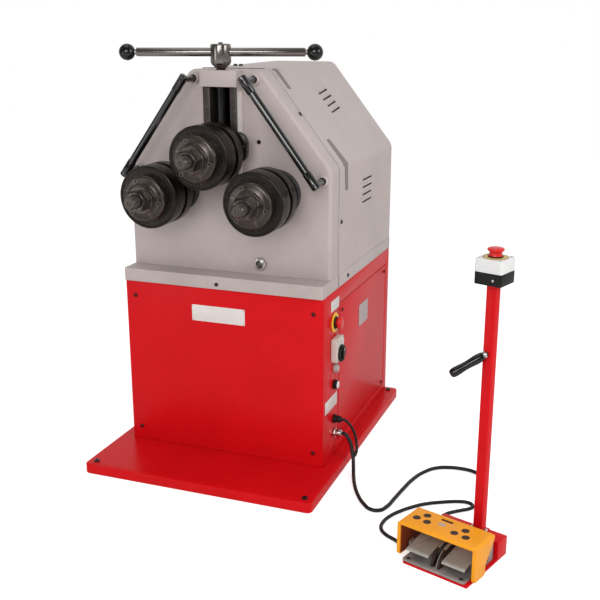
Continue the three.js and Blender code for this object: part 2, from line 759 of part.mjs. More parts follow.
// The upper shaft, carried by the ram, from its threaded tip to its end behind the ram.
function upperShaft() {
  const shoulder = rollRear + GAP;
  const profile = [
    [0, shaftTip],
    [THREAD_DIAMETER / 2 - 2, shaftTip],
    [THREAD_DIAMETER / 2, shaftTip + 2],
    [THREAD_DIAMETER / 2, collarFront],
    [SHAFT_DIAMETER / 2, collarFront],
    [SHAFT_DIAMETER / 2, shoulder],
    [SHAFT_SHOULDER / 2, shoulder],
    [SHAFT_SHOULDER / 2, guideFront - RAM_FLANGE_THICKNESS - 1],
    [UPPER_JOURNAL / 2, guideFront - RAM_FLANGE_THICKNESS - 1],
    [UPPER_JOURNAL / 2, ramBack + 4],
    [0, ramBack + 4],
  ];
  return turnedY(profile, 0, upperAxisZ, MEDIUM);
}

// A bending roll: a wide front ring, a groove and a rear flange, bored for its shaft.
function bendingRoll(x, z) {
  const outer = ROLL_DIAMETER / 2;
  const floor = outer - ROLL_GROOVE_DEPTH;
  const bore = clearOf(SHAFT_DIAMETER, FINE);
  const grooveFront = rollFront + ROLL_FRONT_RING;
  const grooveRear = grooveFront + ROLL_GROOVE_WIDTH;
  const profile = [
    [bore, rollFront],
    [outer - 3, rollFront],
    [outer, rollFront + 3],
    [outer, grooveFront],
    [floor, grooveFront],
    [floor, grooveRear],
    [outer, grooveRear],
    [outer, rollRear - 3],
    [outer - 3, rollRear],
    [bore, rollRear],
    [bore, rollFront],
  ];
  return turnedY(profile, x, z, FINE);
}

// The collar that clamps a roll: a stepped disc in front of the roll's face.
function rollCollar(x, z) {
  const bore = clearOf(SHAFT_DIAMETER, FINE);
  const back = rollFront - GAP;
  const profile = [
    [bore, collarFront],
    [COLLAR_BOSS / 2, collarFront],
    [COLLAR_BOSS / 2, collarFront + 8],
    [COLLAR_DIAMETER / 2 - 4, collarFront + 12],
    [COLLAR_DIAMETER / 2, collarFront + 16],
    [COLLAR_DIAMETER / 2, back],
    [bore, back],
    [bore, collarFront],
  ];
  return turnedY(profile, x, z, FINE);
}

// The shaft nut with its washer face.
function shaftNut(x, z) {
  const bore = clearOf(THREAD_DIAMETER, MEDIUM);
  const back = collarFront - GAP;
  const washer = turnedY(bar(NUT_WASHER / 2, collarFront - NUT_WASHER_WIDTH, back), 0, 0, MEDIUM);
  const flats = polygon(acrossFlats(NUT_SIZE, 6, 0.3));
  const hexagon = plateY(flats, nutFront, collarFront - NUT_WASHER_WIDTH + 1);
  const crownProfile = [
    [0, nutFront],
    [NUT_SIZE / 2 - 1, nutFront],
    [NUT_SIZE / 2 + 6, nutFront + 5],
    [NUT_SIZE / 2 + 6, back],
    [0, back],
  ];
  const crown = turnedY(crownProfile, 0, 0, MEDIUM);
  const trimmed = toGeometry(toSolid(hexagon).intersect(toSolid(crown)));
  const hole = turnedY(bar(bore, nutFront - 1, back + 1), 0, 0, MEDIUM);
  return cut(join(trimmed, washer), hole).translate(x, 0, z);
}

// A driven gear on a lower shaft: rim, thinner web and hub.
function drivenGear(side) {
  const pinionPart = (PINION_TEETH / 2) % 1;
  const halfPitch = (Math.PI / GEAR_TEETH) * (side > 0 ? 1 : 1 - 2 * pinionPart);
  const turn = (side > 0 ? Math.PI : 0) + halfPitch;
  const teeth = plateY(gearShape(GEAR_TEETH, turn), gearFront, gearRear);
  const rim = (GEAR_MODULE * GEAR_TEETH) / 2 - 4 * GEAR_MODULE;
  const hub = BEARING_DIAMETER / 2 + GEAR_HUB_WIDTH;
  const recess = turnedY(tube(hub, rim, gearFront - 1, gearFront + GEAR_WEB_RECESS), 0, 0, MEDIUM);
  const bore = turnedY(bar(clearOf(BEARING_DIAMETER, FINE), gearFront - 1, gearRear + 1), 0, 0, FINE);
  return cut(teeth, recess, bore).translate(side * lowerAxisX, 0, lowerAxisZ);
}

// The pinion with its shaft to the gearbox.
function pinionShaft() {
  const pinion = plateY(gearShape(PINION_TEETH, 0), gearFront - 2, gearRear + 2);
  const shaft = turnedY(bar(SHAFT_DIAMETER / 2, gearFront - 20, rearFrameBack + 40), 0, 0, MEDIUM);
  return join(pinion, shaft).translate(0, 0, lowerAxisZ);
}

function addShaftSet(prefix, x, z, shaft) {
  add(root, prefix + "_shaft", shaft, brightSteel);
  add(root, prefix + "_roll", bendingRoll(x, z), burnishedSteel);
  add(root, prefix + "_collar", rollCollar(x, z), burnishedSteel);
  add(root, prefix + "_nut", shaftNut(x, z), burnishedSteel);
}

function addRollsAndGears() {
  [["lower_left", -1], ["lower_right", 1]].forEach(([name, side]) => {
    add(root, name + "_bearing_housing", bearingHousing(side), castIron);
    const rear = tube(
      clearOf(REAR_SHAFT_DIAMETER, FINE),
      REAR_BEARING_DIAMETER / 2 - GAP,
      rearFrameY - 4,
      rearFrameBack + 4,
    );
    add(root, name + "_rear_bearing", turnedY(rear, side * lowerAxisX, lowerAxisZ, FINE), brightSteel);
    addShaftSet(name, side * lowerAxisX, lowerAxisZ, lowerShaft(side));
    add(root, name + "_gear", drivenGear(side), castIron);
  });
  add(root, "pinion_shaft", pinionShaft(), castIron);
  addShaftSet("upper", 0, upperAxisZ, upperShaft());
}

// Ram: the block that slides in the channel, with a keeper plate behind the front frame.
function ramBlock() {
  const half = ramWidth / 2;
  const keeperFront = seamY + GAP;
  const body = box(-half, half, guideFront, ramBack, ramBottom, ramTop);
  const keeper = box(
    -half - KEEPER_OVERLAP,
    half + KEEPER_OVERLAP,
    keeperFront,
    keeperFront + KEEPER_THICKNESS,
    ramBottom + 8,
    ramTop - 8,
  );
  const bore = turnedY(bar(clearOf(UPPER_JOURNAL, FINE), guideFront - 1, ramBack + 1), 0, upperAxisZ, FINE);
  return cut(join(body, keeper), bore);
}

// Ram flange: the broad plate in front of the guide bars that carries the front bearing.
function ramFlange() {
  const half = RAM_FLANGE_WIDTH / 2;
  const back = guideFront - GAP;
  const front = guideFront - RAM_FLANGE_THICKNESS;
  const shape = roundedPolygon(rectangle(-half, half, ramBottom + 4, ramTop - 4), 26);
  const plate = plateY(shape, front, back);
  const bore = turnedY(bar(clearOf(UPPER_JOURNAL, FINE), front - 1, back + 1), 0, upperAxisZ, FINE);
  return cut(plate, bore);
}

// Spindle: thrust collar, threaded bar and the hub of the T-handle.
function spindle() {
  const r = SCREW_DIAMETER / 2;
  const foot = ramTop + GAP;
  const hub = HUB_DIAMETER / 2;
  const hubTop = hubBottom + HUB_TAPER + HUB_HEIGHT;
  const profile = [
    [0, foot],
    [SCREW_COLLAR / 2, foot],
    [SCREW_COLLAR / 2, foot + SCREW_COLLAR_HEIGHT],
    [r, foot + SCREW_COLLAR_HEIGHT],
    [r, hubBottom],
    [hub - 12, hubBottom],
    [hub - 4, hubBottom + HUB_TAPER * 0.5],
    [hub, hubBottom + HUB_TAPER],
    [hub, hubTop - 5],
    [hub - 1.5, hubTop - 1.5],
    [hub - 5, hubTop],
    [0, hubTop],
  ];
  const body = turnedZ(profile, 0, screwY);
  const hole = turnedX(bar(HANDLE_BAR_DIAMETER / 2 + GAP, -hub - 5, hub + 5), 0, barZ);
  return cut(body, hole.rotateZ(HANDLE_REST_ANGLE).translate(0, screwY, 0));
}

function addSlideAndHandle() {
  add(root, "ram", ramBlock(), castIron);
  add(root, "ram_flange", ramFlange(), burnishedSteel);
  add(root, "spindle", spindle(), burnishedSteel);
  const handle = new THREE.Group();
  handle.position.set(0, screwY, barZ);
  handle.rotation.z = HANDLE_REST_ANGLE;
  root.add(handle);
  const ball = HANDLE_BALL_DIAMETER / 2;
  const barEnd = HANDLE_REACH - ball - 3;
  const neck = HANDLE_NECK_DIAMETER / 2;
  const r = HANDLE_BAR_DIAMETER / 2;
  const studEnd = HANDLE_REACH - ball * 0.2;
  const barProfile = [
    [0, -studEnd],
    [neck, -studEnd],
    [neck, -barEnd],
    [r - 1.5, -barEnd],
    [r, -barEnd + 1.5],
    [r, barEnd - 1.5],
    [r - 1.5, barEnd],
    [neck, barEnd],
    [neck, studEnd],
    [0, studEnd],
  ];
  add(handle, "handle_bar", turnedX(barProfile, 0, 0, MEDIUM), burnishedSteel);
  [["handle_ball_left", -1], ["handle_ball_right", 1]].forEach(([name, side]) => {
    const ends = [-side * (ball + 1), -side * (ball * 0.2 - GAP)].sort((a, b) => a - b);
    const socket = turnedX(bar(clearOf(HANDLE_NECK_DIAMETER, COARSE), ...ends), 0, 0, COARSE);
    const knob = cut(new THREE.SphereGeometry(ball, 12, 8), socket);
    add(handle, name, knob.translate(side * HANDLE_REACH, 0, 0), blackPlastic);
  });
}

// A side rod: round bar with a sleeve at each end, on two posts from the face.
function sideRod(side) {
  const y = faceY - ROD_STANDOFF;
  const top = new THREE.Vector3(side * ROD_TOP_X, y, headTop - ROD_TOP_DROP);
  const foot = new THREE.Vector3(side * ROD_FOOT_X, y, headTop - ROD_FOOT_DROP);
  const length = top.distanceTo(foot);
  const r = ROD_DIAMETER / 2;
  const sleeve = ROD_SLEEVE_DIAMETER / 2;
  const end = ROD_OVERHANG;
  const profile = [
    [0, -end],
    [sleeve - 3, -end],
    [sleeve, -end + 3],
    [sleeve, -end + ROD_SLEEVE_LENGTH],
    [r, -end + ROD_SLEEVE_LENGTH + 1],
    [r, length + end - ROD_SLEEVE_LENGTH - 1],
    [sleeve, length + end - ROD_SLEEVE_LENGTH],
    [sleeve, length + end - 3],
    [sleeve - 3, length + end],
    [0, length + end],
  ];
  const direction = top.clone().sub(foot).normalize();
  const turn = new THREE.Quaternion().setFromUnitVectors(new THREE.Vector3(0, 1, 0), direction);
  const rod = turnedY(profile, 0, 0, COARSE).applyQuaternion(turn).translate(foot.x, foot.y, foot.z);
  const post = bar(ROD_POST_DIAMETER / 2, y, faceY - GAP);
  const posts = [top, foot].map((p) => turnedY(post, p.x, p.z, COARSE));
  return join(rod, ...posts);
}

// Motor: a finned body that hangs under the gearbox, with its terminal box and fan cover.
function motorBody(y) {
  const top = lowerAxisZ - GEARBOX_HEIGHT / 2 - GAP;
  const bottom = top - MOTOR_LENGTH;
  const body = turnedZ(
    [
      [0, bottom],
      [MOTOR_DIAMETER / 2 - 12, bottom],
      [MOTOR_DIAMETER / 2 - 2, bottom + 12],
      [MOTOR_DIAMETER / 2 - 2, bottom + 60],
      [MOTOR_DIAMETER / 2 - FIN_HEIGHT, bottom + 62],
      [MOTOR_DIAMETER / 2 - FIN_HEIGHT, top - 34],
      [MOTOR_DIAMETER / 2 - 10, top - 12],
      [MOTOR_DIAMETER / 2 - 5, top - 12],
      [MOTOR_DIAMETER / 2 - 5, top],
      [0, top],
    ],
    0,
    y,
  );
  const fins = Array.from({ length: MOTOR_FINS }, (_, i) =>
    box(MOTOR_DIAMETER / 2 - FIN_HEIGHT - 3, MOTOR_DIAMETER / 2, -2, 2, bottom + 70, top - 40)
      .rotateZ((2 * Math.PI * (i + 0.5)) / MOTOR_FINS)
      .translate(0, y, 0),
  );
  return join(body, ...fins);
}

function addDrive() {
  const front = rearFrameBack + GAP;
  const y = front + GEARBOX_DEPTH / 2;
  const half = GEARBOX_WIDTH / 2;
  const shape = roundedPolygon(
    rectangle(-half, half, lowerAxisZ - GEARBOX_HEIGHT / 2, lowerAxisZ + GEARBOX_HEIGHT / 2),
    22,
  );
  const casing = plateY(shape, front, front + GEARBOX_DEPTH);
  const inputZ = lowerAxisZ - GEARBOX_INPUT_DROP;
  const input = turnedX(bar(GEARBOX_INPUT_DIAMETER / 2, -half - 16, half + 16), y, inputZ);
  const seat = turnedY(bar(clearOf(SHAFT_DIAMETER, FINE), front - 1, front + 46), 0, lowerAxisZ, FINE);
  add(root, "gearbox", cut(join(casing, input), seat), castIron);
  add(root, "drive_motor", motorBody(rearFrameBack + MOTOR_DIAMETER / 2 + MOTOR_CLEARANCE), castIron);
}

// A mushroom or plain push button that points to +X, with a stem through the cabinet wall.
function sideButton(diameter, reach, stem, height, mushroom) {
  const r = diameter / 2;
  const shank = cabinetSide - BUTTON_SHANK;
  const face = cabinetSide + reach;
  const lip = mushroom ? face - reach * 0.45 : cabinetSide + 3 + GAP;
  const profile = [
    [0, shank],
    [stem / 2, shank],
    [stem / 2, lip],
    [r, lip],
    [r, face - 3],
    [r - 2.5, face],
    [0, face],
  ];
  return turnedX(profile, controlY, height, COARSE);
}

// A cable gland: locknut hexagon against the wall, domed cap and a threaded shank through the wall.
function cableGland(height) {
  const wall = cabinetSide + GAP;
  const hexagon = plateX(polygon(acrossFlats(GLAND_SIZE, 6)), wall, wall + 8);
  const dome = turnedX(
    [
      [0, wall + 4],
      [GLAND_SIZE / 2 - 1, wall + 4],
      [GLAND_SIZE / 2 - 1, wall + GLAND_REACH * 0.6],
      [GLAND_SIZE / 2 - 4, cabinetSide + GLAND_REACH],
      [0, cabinetSide + GLAND_REACH],
    ],
    0,
    0,
    COARSE,
  );
  const shank = turnedX(bar(GLAND_SHANK / 2, cabinetSide - 12, wall + 1), 0, 0, COARSE);
  return join(hexagon, dome, shank).translate(0, controlY, height);
}

function addControls() {
  const stop = sideButton(STOP_DIAMETER, STOP_REACH, STOP_STEM, stopZ, true);
  const reset = sideButton(RESET_DIAMETER, RESET_REACH, BUTTON_STEM, resetZ, false);
  const start = sideButton(START_DIAMETER, START_REACH, BUTTON_STEM, startZ, false);
  add(root, "cabinet_stop_button", stop, redPlastic);
  add(root, "reset_button", reset, greyPlastic);
  add(root, "start_button", start, whitePlastic);
  const half = SWITCH_SIZE / 2;
  const wall = cabinetSide + GAP;
  const bodyShape = roundedPolygon(rectangle(-half, half, -half, half), 6);
  const body = plateX(bodyShape, wall, wall + SWITCH_BODY_REACH).translate(0, controlY, SWITCH_HEIGHT);
  const hole = bar(clearOf(SWITCH_PIN, COARSE), wall + 6, wall + SWITCH_BODY_REACH + 1);
  const pivot = turnedX(hole, controlY, SWITCH_HEIGHT, COARSE);
  add(root, "main_switch_body", cut(body, pivot), greyPlastic);
  const knobBack = wall + SWITCH_BODY_REACH + GAP;
  const disc = turnedX(bar(SWITCH_KNOB_DIAMETER / 2, knobBack, knobBack + 7), controlY, SWITCH_HEIGHT);
  const pin = bar(SWITCH_PIN / 2, wall + 6 + GAP, knobBack + 1);
  const spindlePin = turnedX(pin, controlY, SWITCH_HEIGHT, COARSE);
  const grip = SWITCH_KNOB_DIAMETER / 2 - 2;
  const handle = plateX(
    roundedPolygon(rectangle(-7, 7, -grip, grip), 4),
    knobBack + 5,
    knobBack + SWITCH_KNOB_REACH,
  ).translate(0, controlY, SWITCH_HEIGHT);
  add(root, "main_switch_knob", join(disc, spindlePin, handle), blackPlastic);
  add(root, "branch_gland", cableGland(BRANCH_GLAND_HEIGHT), blackPlastic);
  add(root, "control_gland", cableGland(CONTROL_GLAND_HEIGHT), brightSteel);
}

// Stand foot: the thin tray under the pedals, with the raised box that carries the post.
function standFoot() {
  const wall = STAND_BOX_WALL;
  const tray = plateZ(
    roundedPolygon(rectangle(-TRAY_LEFT, TRAY_RIGHT, -TRAY_FRONT, -STAND_BOX_FRONT + wall), 3),
    0,
    TRAY_SHEET,
  );
  const outer = box(-TRAY_LEFT, TRAY_RIGHT, -STAND_BOX_FRONT, STAND_BOX_BACK, 0, STAND_BOX_HEIGHT);
  const inner = box(
    -TRAY_LEFT + wall,
    TRAY_RIGHT - wall,
    -STAND_BOX_FRONT + wall,
    STAND_BOX_BACK - wall,
    -1,
    STAND_BOX_HEIGHT - wall,
  );
  return cut(join(tray, outer), inner);
}

// Post: a square tube with a foot flange.
function standPost() {
  const half = POST_SIZE / 2;
  const inner = half - POST_WALL;
  const bottom = STAND_BOX_HEIGHT + GAP;
  const flange = box(-half - 9, half + 9, -half - 5, half + 5, bottom, bottom + POST_FOOT);
  const post = box(-half, half, -half, half, bottom, POST_TOP);
  return cut(join(post, flange), box(-inner, inner, -inner, inner, bottom - 1, POST_TOP + 1));
}

// Grip: a waisted round handle on a stud, which leans down to the left from the front of the post.
function postGrip() {
  const r = GRIP_DIAMETER / 2;
  const profile = [
    [0, 0],
    [r * 0.5, 0],
    [r * 0.5, GRIP_STUD],
    [r * 0.85, GRIP_STUD],
    [r, GRIP_STUD + 12],
    [r * 0.86, GRIP_STUD + GRIP_LENGTH * 0.4],
    [r * 0.9, GRIP_STUD + GRIP_LENGTH * 0.7],
    [r, GRIP_STUD + GRIP_LENGTH - 12],
    [r * 0.75, GRIP_STUD + GRIP_LENGTH - 3],
    [0, GRIP_STUD + GRIP_LENGTH],
  ];
  const direction = new THREE.Vector3(-0.62, -0.6, -0.5).normalize();
  const turn = new THREE.Quaternion().setFromUnitVectors(new THREE.Vector3(0, 1, 0), direction);
  const straight = turnedY(profile, 0, 0, COARSE).applyQuaternion(turn);
  const grip = straight.translate(0, -POST_SIZE / 2, GRIP_HEIGHT);
  const clear = POST_SIZE / 2 + GAP;
  return cut(grip, box(-clear, clear, -clear, clear, GRIP_HEIGHT - 60, GRIP_HEIGHT + 60));
}

// The stop station on the post: base, cover and mushroom button.
function addStation(stand) {
  const half = STATION_SIZE / 2;
  const wall = STATION_WALL;
  const z0 = POST_TOP + GAP;
  const z1 = POST_TOP + STATION_BASE_HEIGHT;
  const square = (inset, radius) => {
    const side = half - inset;
    return roundedPolygon(rectangle(-side, side, -side, side), radius);
  };
  const base = cut(plateZ(square(0, 5), z0, z1), plateZ(square(wall, 3), z0 + wall, z1 + 1));
  add(stand, "station_base", base, blackPlastic);
  const stem = MUSHROOM_STEM / 2;
  const bevel = { bevelEnabled: true, bevelSize: 2, bevelThickness: 2, bevelSegments: 1 };
  const cover = cut(
    plateZ(square(2, 5), z1 + GAP, coverTop - 2, bevel),
    plateZ(square(wall, 3), z1 - 3, coverTop - wall),
    turnedZ(bar(clearOf(MUSHROOM_STEM, MEDIUM), coverTop - 10, coverTop + 1), 0, 0),
    box(-half - 1, half + 1, -half - 1, half + 1, z1 - 5, z1 + GAP),
  );
  add(stand, "station_cover", cover, whitePlastic);
  const top = coverTop + MUSHROOM_REACH;
  const cap = MUSHROOM_DIAMETER / 2;
  const profile = [
    [0, coverTop - 24],
    [stem, coverTop - 24],
    [stem, top - MUSHROOM_CAP],
    [cap - 1, top - MUSHROOM_CAP],
    [cap, top - MUSHROOM_CAP + 3],
    [cap - 2, top - 4],
    [cap * 0.6, top - 1],
    [0, top],
  ];
  add(stand, "station_button", turnedZ(profile, 0, 0), redPlastic);
}

// Pedal plate: galvanised base with the ears and pin of the pedals, tabs for the hood and a double fin.
function pedalPlate(z0) {
  const half = PEDAL_PLATE_WIDTH / 2;
  const wide = HOOD_WIDTH / 2 - HOOD_WALL - GAP;
  const z1 = z0 + PEDAL_PLATE_THICKNESS;
  const t = EAR_THICKNESS;
  const front = -PEDAL_PLATE_FRONT;
  const plate = plateZ(roundedPolygon(rectangle(-half, half, front, -PEDAL_PLATE_BACK), 5), z0, z1);
  const hole = bar(PLATE_HOLE / 2, z0 - 1, z1 + 1);
  const inset = PLATE_HOLE_INSET;
  const holes = [-1, 1].map((side) => turnedZ(hole, side * (half - inset), front + inset, COARSE));
  const tabBack = -HOOD_FOOT_BACK - 2;
  const tabFront = tabBack - TAB_WIDTH;
  const tabs = [-wide, wide - t].map((x) => box(x, x + t, tabFront, tabBack, z0, z1 + TAB_WIDTH));
  const y = PEDAL_PIVOT_Y;
  const top = PEDAL_PIVOT_HEIGHT + EAR_HEAD / 2;
  const ear = polygon([
    [y - EAR_FOOT / 2, z1 - 1],
    [y + EAR_FOOT / 2, z1 - 1],
    [y + EAR_HEAD / 2, top],
    [y - EAR_HEAD / 2, top],
  ]);
  const ears = [-half, half - t].map((x) => plateX(ear, x, x + t));
  const strip = box(-wide, wide, tabFront, tabBack, z0, z1);
  const toe = front + FIN_TOE;
  const heel = y + EAR_HEAD / 2;
  const fin = new THREE.Shape();
  fin.moveTo(toe, z1 - 1);
  fin.lineTo(heel, z1 - 1);
  fin.lineTo(heel, top);
  fin.lineTo(toe + FIN_RISE, top);
  fin.quadraticCurveTo(toe, top, toe, z1 - 1);
  const fins = [-1, 1].map((side) => {
    const x = (side * FIN_SPACING - FIN_THICKNESS) / 2;
    return plateX(fin, x, x + FIN_THICKNESS, { curveSegments: 6 });
  });
  const pin = turnedX(bar(PEDAL_PIN / 2, -half + 1, half - 1), y, PEDAL_PIVOT_HEIGHT, COARSE);
  return cut(join(plate, strip, ...tabs, ...ears, ...fins, pin), ...holes);
}

// A pedal: a sheet treadle with a rolled eye on the pin, nearly level, with a curled toe.
function pedal(x) {
  const eye = PEDAL_EYE / 2;
  const heelZ = PEDAL_PIVOT_HEIGHT + eye - PEDAL_SHEET;
  const toeZ = PEDAL_TOE_HEIGHT - PEDAL_SHEET;
  const back = PEDAL_PIVOT_Y + 4;
  const toe = -PEDAL_TOE;
  const shape = new THREE.Shape();
  shape.moveTo(back, heelZ);
  shape.lineTo(back, heelZ + PEDAL_SHEET);
  shape.lineTo(toe + 12, toeZ + PEDAL_SHEET);
  shape.quadraticCurveTo(toe, toeZ + PEDAL_SHEET - 1, toe, toeZ - 10);
  shape.lineTo(toe + PEDAL_SHEET, toeZ - 10);
  shape.quadraticCurveTo(toe + PEDAL_SHEET, toeZ - 1, toe + 14, toeZ);
  shape.closePath();
  const half = PEDAL_WIDTH / 2;
  const treadle = plateX(shape, x - half, x + half, { curveSegments: 4 });
  const roll = turnedX(bar(eye, x - half, x + half), PEDAL_PIVOT_Y, PEDAL_PIVOT_HEIGHT, COARSE);
  const bore = turnedX(
    bar(clearOf(PEDAL_PIN, COARSE), x - half - 1, x + half + 1),
    PEDAL_PIVOT_Y,
    PEDAL_PIVOT_HEIGHT,
    COARSE,
  );
  return cut(join(treadle, roll), bore);
}

// Pedal hood: a thick moulded arch, open at the front, the rear and below, whose legs narrow downwards.
function pedalHood() {
  const half = HOOD_WIDTH / 2;
  const w = HOOD_WALL;
  const foot = TRAY_SHEET + GAP;
  const side = roundedPolygon(
    [
      [-HOOD_FRONT, foot],
      [-HOOD_FOOT_BACK, foot],
      [-HOOD_FOOT_BACK, HOOD_KNEE],
      [-HOOD_BACK, HOOD_TOP - 14],
      [-HOOD_BACK, HOOD_TOP],
      [-HOOD_FRONT, HOOD_TOP],
    ],
    4,
  );
  const outer = plateX(side, -half, half);
  const through = box(-half + w, half - w, -HOOD_FRONT - 1, -HOOD_BACK + 1, foot - 1, HOOD_TOP - 16);
  const under = box(-half + w, half - w, -HOOD_FRONT - 1, -HOOD_BACK - w, foot - 1, HOOD_TOP - w);
  const slotBack = -HOOD_BACK - 9;
  const slot = box(-SLOT_WIDTH / 2, SLOT_WIDTH / 2, slotBack - 5, slotBack, HOOD_TOP - 20, HOOD_TOP + 1);
  return cut(outer, through, under, slot);
}

function addStand() {
  const stand = new THREE.Group();
  stand.position.set(STAND_X, STAND_Y, 0);
  stand.rotation.z = STAND_TURN;
  root.add(stand);
  add(stand, "stand_foot", standFoot(), redPaint);
  add(stand, "stand_post", standPost(), redPaint);
  add(stand, "post_grip", postGrip(), blackPlastic);
  addStation(stand);
  const pedals = new THREE.Group();
  pedals.position.x = PEDAL_CENTRE;
  stand.add(pedals);
  add(pedals, "pedal_plate", pedalPlate(TRAY_SHEET + GAP), zincPlate);
  add(pedals, "pedal_hood", pedalHood(), yellowPlastic);
  add(pedals, "left_pedal", pedal(-PEDAL_SPACING / 2), zincPlate);
  add(pedals, "right_pedal", pedal(PEDAL_SPACING / 2), zincPlate);
}

// The three leads. Their points are the centre line, in the object's own frame.
function addLeads() {
  const onFloor = CONTROL_LEAD_DIAMETER / 2 + GAP;
  const tip = cabinetSide + GLAND_REACH + GAP;
  const controlRoute = [
    [tip, controlY, CONTROL_GLAND_HEIGHT],
    [tip + 8, controlY, CONTROL_GLAND_HEIGHT],
    [370, -143, 94],
    [380, -148, 78],
    [387, -155, 60],
    [393, -164, 42],
    [398, -176, 24],
    [404, -194, 10],
    [413, -220, onFloor],
    [428, -260, onFloor],
    [457, -320, onFloor],
    [489, -366, onFloor],
    [517, -389, onFloor],
    [540, -385, onFloor],
    [553, -360, onFloor],
    [561, -308, onFloor],
    [570, -240, onFloor],
    [582, -169, onFloor],
    [602, -112, onFloor],
    [630, -73, onFloor],
    [666, -55, onFloor],
    [703, -50, onFloor],
    [735, -54, onFloor],
    [760, -69, onFloor],
    [774, -96, onFloor],
    [781, -135, onFloor],
    [790, -195, onFloor],
    [800, -265, onFloor],
    [810, -330, onFloor],
    [817, -365, onFloor],
    [830, -394, 8],
    [842, -419, 15],
    fromStand(3, STAND_BOX_BACK + 18, 20),
    fromStand(3, STAND_BOX_BACK + GAP, 20),
  ];
  add(root, "control_lead", lead(controlRoute, CONTROL_LEAD_DIAMETER, 42, 8), cableJacket);
  const branchRoute = [
    [tip, controlY, BRANCH_GLAND_HEIGHT],
    [tip + 8, controlY, BRANCH_GLAND_HEIGHT],
    [372, -139, 138],
    [384, -138, 120],
    [392, -139, 98],
    [397, -143, 76],
    [400, -150, 58],
  ];
  add(root, "branch_lead", lead(branchRoute, BRANCH_LEAD_DIAMETER, 10, 8), cableJacket);
  const low = PEDAL_LEAD_DIAMETER / 2 + GAP;
  const pedalRoute = [
    fromStand(-TRAY_LEFT - GAP, 0, 20),
    fromStand(-TRAY_LEFT - 8, 0, 20),
    fromStand(-TRAY_LEFT - 24, 10, 13),
    fromStand(-TRAY_LEFT - 33, 34, low + 1),
    fromStand(-TRAY_LEFT - 36, 64, low),
    [717, -342, low],
    [737, -319, low],
    [758, -301, low],
    [773, -288, low],
    [780, -274, low],
    [773, -259, low],
    [757, -253, low],
    [736, -257, low],
    [712, -267, low],
    [690, -279, low],
    [669, -291, low],
    [645, -309, low],
    [622, -333, low],
    [597, -366, low],
    [577, -403, low],
    [567, -443, low],
    [571, -478, low],
    [590, -503, low],
    [616, -519, low],
    fromStand(-168, -116, 8),
    fromStand(-153, -122, 12),
    fromStand(PEDAL_CENTRE - HOOD_WIDTH / 2 - GAP, -123, 12),
  ];
  add(root, "pedal_lead", lead(pedalRoute, PEDAL_LEAD_DIAMETER, 36, 8), cableJacket);
}

addCabinet();
addHead();
addRollsAndGears();
addSlideAndHandle();
add(root, "left_side_rod", sideRod(-1), burnishedSteel);
add(root, "right_side_rod", sideRod(1), burnishedSteel);
addDrive();
addControls();
addStand();
addLeads();

export default root;
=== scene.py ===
"""Looks of a three-roll ring roller and its control stand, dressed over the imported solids.

Lengths are metres in the object's own frame: +X to the operator's right, the rolls face -Y, +Z is up.
"""

import logging
import math
from collections.abc import Callable, Iterable
from dataclasses import dataclass
from enum import Enum

import bmesh
import bpy
from mathutils import Matrix, Vector


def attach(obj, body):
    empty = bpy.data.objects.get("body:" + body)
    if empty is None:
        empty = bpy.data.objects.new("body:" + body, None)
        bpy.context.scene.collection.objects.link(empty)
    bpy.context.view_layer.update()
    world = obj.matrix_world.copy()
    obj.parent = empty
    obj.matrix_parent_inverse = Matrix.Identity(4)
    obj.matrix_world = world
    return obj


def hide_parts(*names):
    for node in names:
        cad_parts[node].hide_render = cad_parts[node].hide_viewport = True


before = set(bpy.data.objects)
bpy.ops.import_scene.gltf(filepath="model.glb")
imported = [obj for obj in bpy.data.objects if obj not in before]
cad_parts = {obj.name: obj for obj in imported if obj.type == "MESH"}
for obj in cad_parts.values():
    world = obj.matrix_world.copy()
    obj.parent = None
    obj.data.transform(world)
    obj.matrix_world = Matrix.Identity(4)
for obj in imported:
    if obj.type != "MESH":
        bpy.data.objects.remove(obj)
LOG = logging.getLogger("ring_roller")

Cross = tuple[float, float]
Profile = list[tuple[float, float]]
Piece = bpy.types.Object
Socket = bpy.types.NodeSocket
Material = bpy.types.Material
Inputs = dict[str | int, object]
Place = Vector | None

ROUND = 64
CORNER_STEPS = 6
SIDES = (-1, 1)
# The gap between neighbouring pieces, and how far a cutting tool reaches past a face
GAP = 0.0003
PAST = 0.01
ORIGIN: Cross = (0.0, 0.0)

# Places that several sub-assemblies share
BASE_TOP = 0.030
CABINET_REAR = 0.455
CABINET_FRONT = -0.240
CABINET_SIDE = 0.321
CABINET_TOP = 0.555
BED_TOP = 0.594
FACE_Y = -0.182
SEAM_Y = -0.142
SHOULDER_Z = 0.914
HEAD_TOP = 1.184
HEAD_TOP_X = 0.109
GUIDE_FRONT = -0.229
BLOCK_BOTTOM = 1.134
CHANNEL_BOTTOM = 0.862
LOWER_AXIS = (0.160, 0.840)
UPPER_AXIS_Z = 0.957
SCREW_Y = -0.2055
CONTROL_Y = -0.140
STAND_PLACE = Matrix.Translation((0.833, -0.478, 0.0)) @ Matrix.Rotation(-0.32, 4, "Z")
PEDALS_PLACE = STAND_PLACE @ Matrix.Translation((-0.030, 0.0, 0.0))


class Way(Enum):
    """The axis that a piece is turned about or drawn along."""

    X = (1.0, 0.0, 0.0)
    Y = (0.0, 1.0, 0.0)
    Z = (0.0, 0.0, 1.0)

    def point(self, cross: Cross, along: float) -> Vector:
        """Returns the point with two cross coordinates at a place along the axis."""
        first, second = cross
        if self is Way.X:
            return Vector((along, first, second))
        if self is Way.Y:
            return Vector((first, along, second))
        return Vector((first, second, along))


